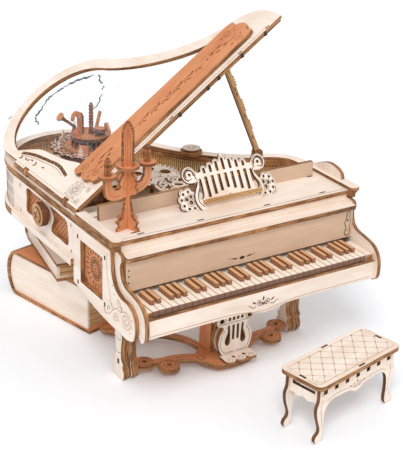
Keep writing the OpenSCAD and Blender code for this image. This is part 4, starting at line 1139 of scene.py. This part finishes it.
def stage_figures():
    """Trim, posts and little standing figures round the pierced border of the revolving stage."""
    pale, dark, gold = Carving(), Carving(), Carving()
    flat = level(STAGE_AT, STAGE_FLOOR)
    dark.ring(flat, (0, 0), 23.6, 1.1, 72)
    dark.ring(flat, (0, 0), 18.6, 0.7, 60)
    for a in range(0, 360, 18):
        pale.ring(flat, polar(20.9, a + 9), 2.0, HEAVY, 16)
        pale.ring(flat, polar(25.8, a), 1.75, 0.55, 16)
        pale.dot(flat, polar(23.6, a), 0.6, 0.0, 0.12, n=8)
    pale.wreath(flat, 24.2, 20, 3.4, 1.7, 9)
    half = [(0.9, 0.0), (2.0, 0.5), (2.3, 1.7), (1.3, 2.7), (1.8, 3.6), (1.4, 4.5), (0.5, 4.8), (0.45, 6.4)]
    curl = smooth([(-2.2, 0), (-2.4, 2.6), (-1.2, 4.8), (1.2, 5.0), (2.2, 3.4), (1.2, 2.4)])
    figures = 13
    thick = 0.6
    for k in range(figures):
        a = 360 / figures * k + 6
        c, s = tilted(a)
        stand = Flat((*polar(23.4, a, STAGE_AT), STAGE_FLOOR), (-s, c, 0), Z, (c, s, 0))
        which = (pale, dark, pale, gold)[k % 4]
        if k % 2:
            which.line(stand, curl, 1.1, -thick, thick)
            which.dot(stand, (0.9, 2.9), 0.8, -thick, thick)
        else:
            which.prism(stand, half + mirrored(half[::-1], -1), -thick, thick)
            eyes = pale if which is dark else dark
            for x in (-0.8, 0.8):
                for low in (0.5, -0.75):
                    eyes.dot(stand, (x, 2.2), 0.3, low, low + 0.25, n=8)
    for a in range(20, 380, 36):
        x, y = polar(10.4, a, STAGE_AT)
        gold.tube([(x, y, z) for z in (STAGE_FLOOR, 116, 118, 121)], 0.7)
    pale.done("stage_trim", ply_face(CREAM, X, Z), body="carousel")
    dark.done("stage_dark_trim", engraved(CHAR), body="carousel")
    gold.done("stage_gold_trim", ply_edge(GOLD, Z), body="carousel")


def scroll_bridge():
    """The fretted scroll plate that stands over the front of the movement."""
    top, rim = Carving(), Carving()
    flat = level(SCROLL_AT, 0)
    plate, shade = (108.2, 109.3), (107.5, 108.2)
    for r, w in ((16.0, 2.0), (4.2, 1.6)):
        top.ring(flat, (0, 0), r, w, 48, *plate)
        rim.ring(flat, (0, 0), r, w + 0.7, 48, *shade)
    for k in range(5):
        a = 72 * k + 14
        path = spiral(polar(10.2, a), 4.6, 1.2, a + 150, 1.3)
        top.line(flat, path, 1.2, *plate)
        rim.line(flat, path, 1.9, *shade)
        rim.dot(flat, polar(16.0, a), 0.55, 109.2, 109.5)
        for q in (0.4, 0.6):
            top.dot(flat, polar(13.0, a + 72 * q), 1.3, *plate, n=12)
    for x, y in ((0, -16), (-14.4, -7), (14.4, -7)):
        rim.tube([(SCROLL_AT[0] + x, SCROLL_AT[1] + y, z) for z in (SOUNDBOARD_TOP, 98, 103, shade[0])], 0.8)
    top.done("scroll_bridge", ply_face(CREAM, X, Z))
    rim.done("scroll_bridge_underside")


def candelabra_detail():
    """Lines that follow the outlines of the stem, the arms and the middle candle."""
    work = Carving()
    c, s = tilted(16.5)
    x_dir, y_dir = Vector((c, s, 0)), Vector((-s, c, 0))
    base = Vector((-75, 14.4, 0))
    foot = [(7.6, 113.4), (5.4, 116.4), (4.2, 120), (2.4, 126)]
    knot = [(2.4, 138), (4.4, 140), (4.8, 143), (3, 146.6)]
    candle = [(3.2, 155.6), (3.3, 166), (3.1, 173), (1.5, 178)]
    arm = [(6.6, 136.4), (12, 136.6), (16, 139), (17.6, 143), (17.6, 148)]
    for u, n, curves in ((x_dir, -y_dir, (foot, knot, candle, arm)), (y_dir, x_dir, (foot, knot, candle))):
        for face in (-1, 1):
            flat = Flat(base + face * n, u, Z, face * n)
            for curve in curves:
                work.both(flat, curve, HAIR)
    work.done("candelabra_engraving", engraved(SOFT_LINE), "stained_ply")


# ---- camera, light and floor ----
def camera():
    """The view that the object was first seen from."""
    right = Vector((0.8439, -0.5355, 0.0328))
    up = Vector((0.1935, 0.3609, 0.9123))
    back = Vector((-0.5004, -0.7635, 0.4082))
    lens = bpy.data.cameras.new("camera")
    lens.lens = 96.84
    lens.sensor_width = 36
    lens.clip_start = 0.01
    obj = bpy.data.objects.new("camera", lens)
    place = Matrix((right, up, back)).transposed().to_4x4()
    place.translation = Vector((-0.4155, -0.590, 0.4251))
    obj.matrix_world = place
    bpy.context.scene.collection.objects.link(obj)
    bpy.context.scene.camera = obj


def sun_light(name, from_dir, power, spread):
    """A soft light from far away; the spread is the angle that it fills, in degrees."""
    data = bpy.data.lights.new(name, "SUN")
    data.energy = power
    data.angle = math.radians(spread)
    obj = bpy.data.objects.new(name, data)
    obj.location = Vector(from_dir)
    obj.rotation_euler = (-Vector(from_dir)).to_track_quat("-Z", "Y").to_euler()
    bpy.context.scene.collection.objects.link(obj)


def studio():
    """White surroundings, two soft lights and a pale floor."""
    scene = bpy.context.scene
    scene.view_settings.view_transform = "Standard"
    world = bpy.data.worlds.new("studio")
    scene.world = world
    world.use_nodes = True
    background = world.node_tree.nodes["Background"]
    background.inputs["Color"].default_value = (0.97, 0.985, 1.0, 1)
    background.inputs["Strength"].default_value = 0.70
    sun_light("key", (-0.55, -0.62, 1.0), 1.55, 26)
    sun_light("fill", (0.8, -0.7, 0.9), 0.35, 60)
    k = Nodes("white_floor")
    cloud = k.noise(k.place(), 3.0, 2.0)
    mat = k.done(k.tint(cloud, 0.3, 0.7, (250, 251, 253), (247, 249, 252)), 0.9)
    mesh = bpy.data.meshes.new("floor")
    half, below = 4.0, -0.2 * MM
    mesh.from_pydata([(x, y, below) for x, y in rect(0, 0, half, half)], [], [(0, 1, 2, 3)])
    mesh.materials.append(mat)
    floor = bpy.data.objects.new("floor", mesh)
    scene.collection.objects.link(floor)


camera()
studio()
dress_nodes()
for carve in (bent_side_cuts, cheek_detail, wall_detail, knob_detail, front_detail, top_detail, desk_detail,
        beam_detail, lid_detail, pane_detail, prop_detail, bench_detail, stretcher_detail, leg_pegs,
        instrument_detail, mechanism_detail, stage_figures, scroll_bridge, candelabra_detail):
    carve()
book_pages("large_book", (-67, 82, 0), BIG_BOOK_TURN, 72, 89, 4.6, 33.58, 12)
book_pages("small_book", (-81.5, 102.9, 36.1), SMALL_BOOK_TURN, 60, 82, 2.4, 11.58, 4)
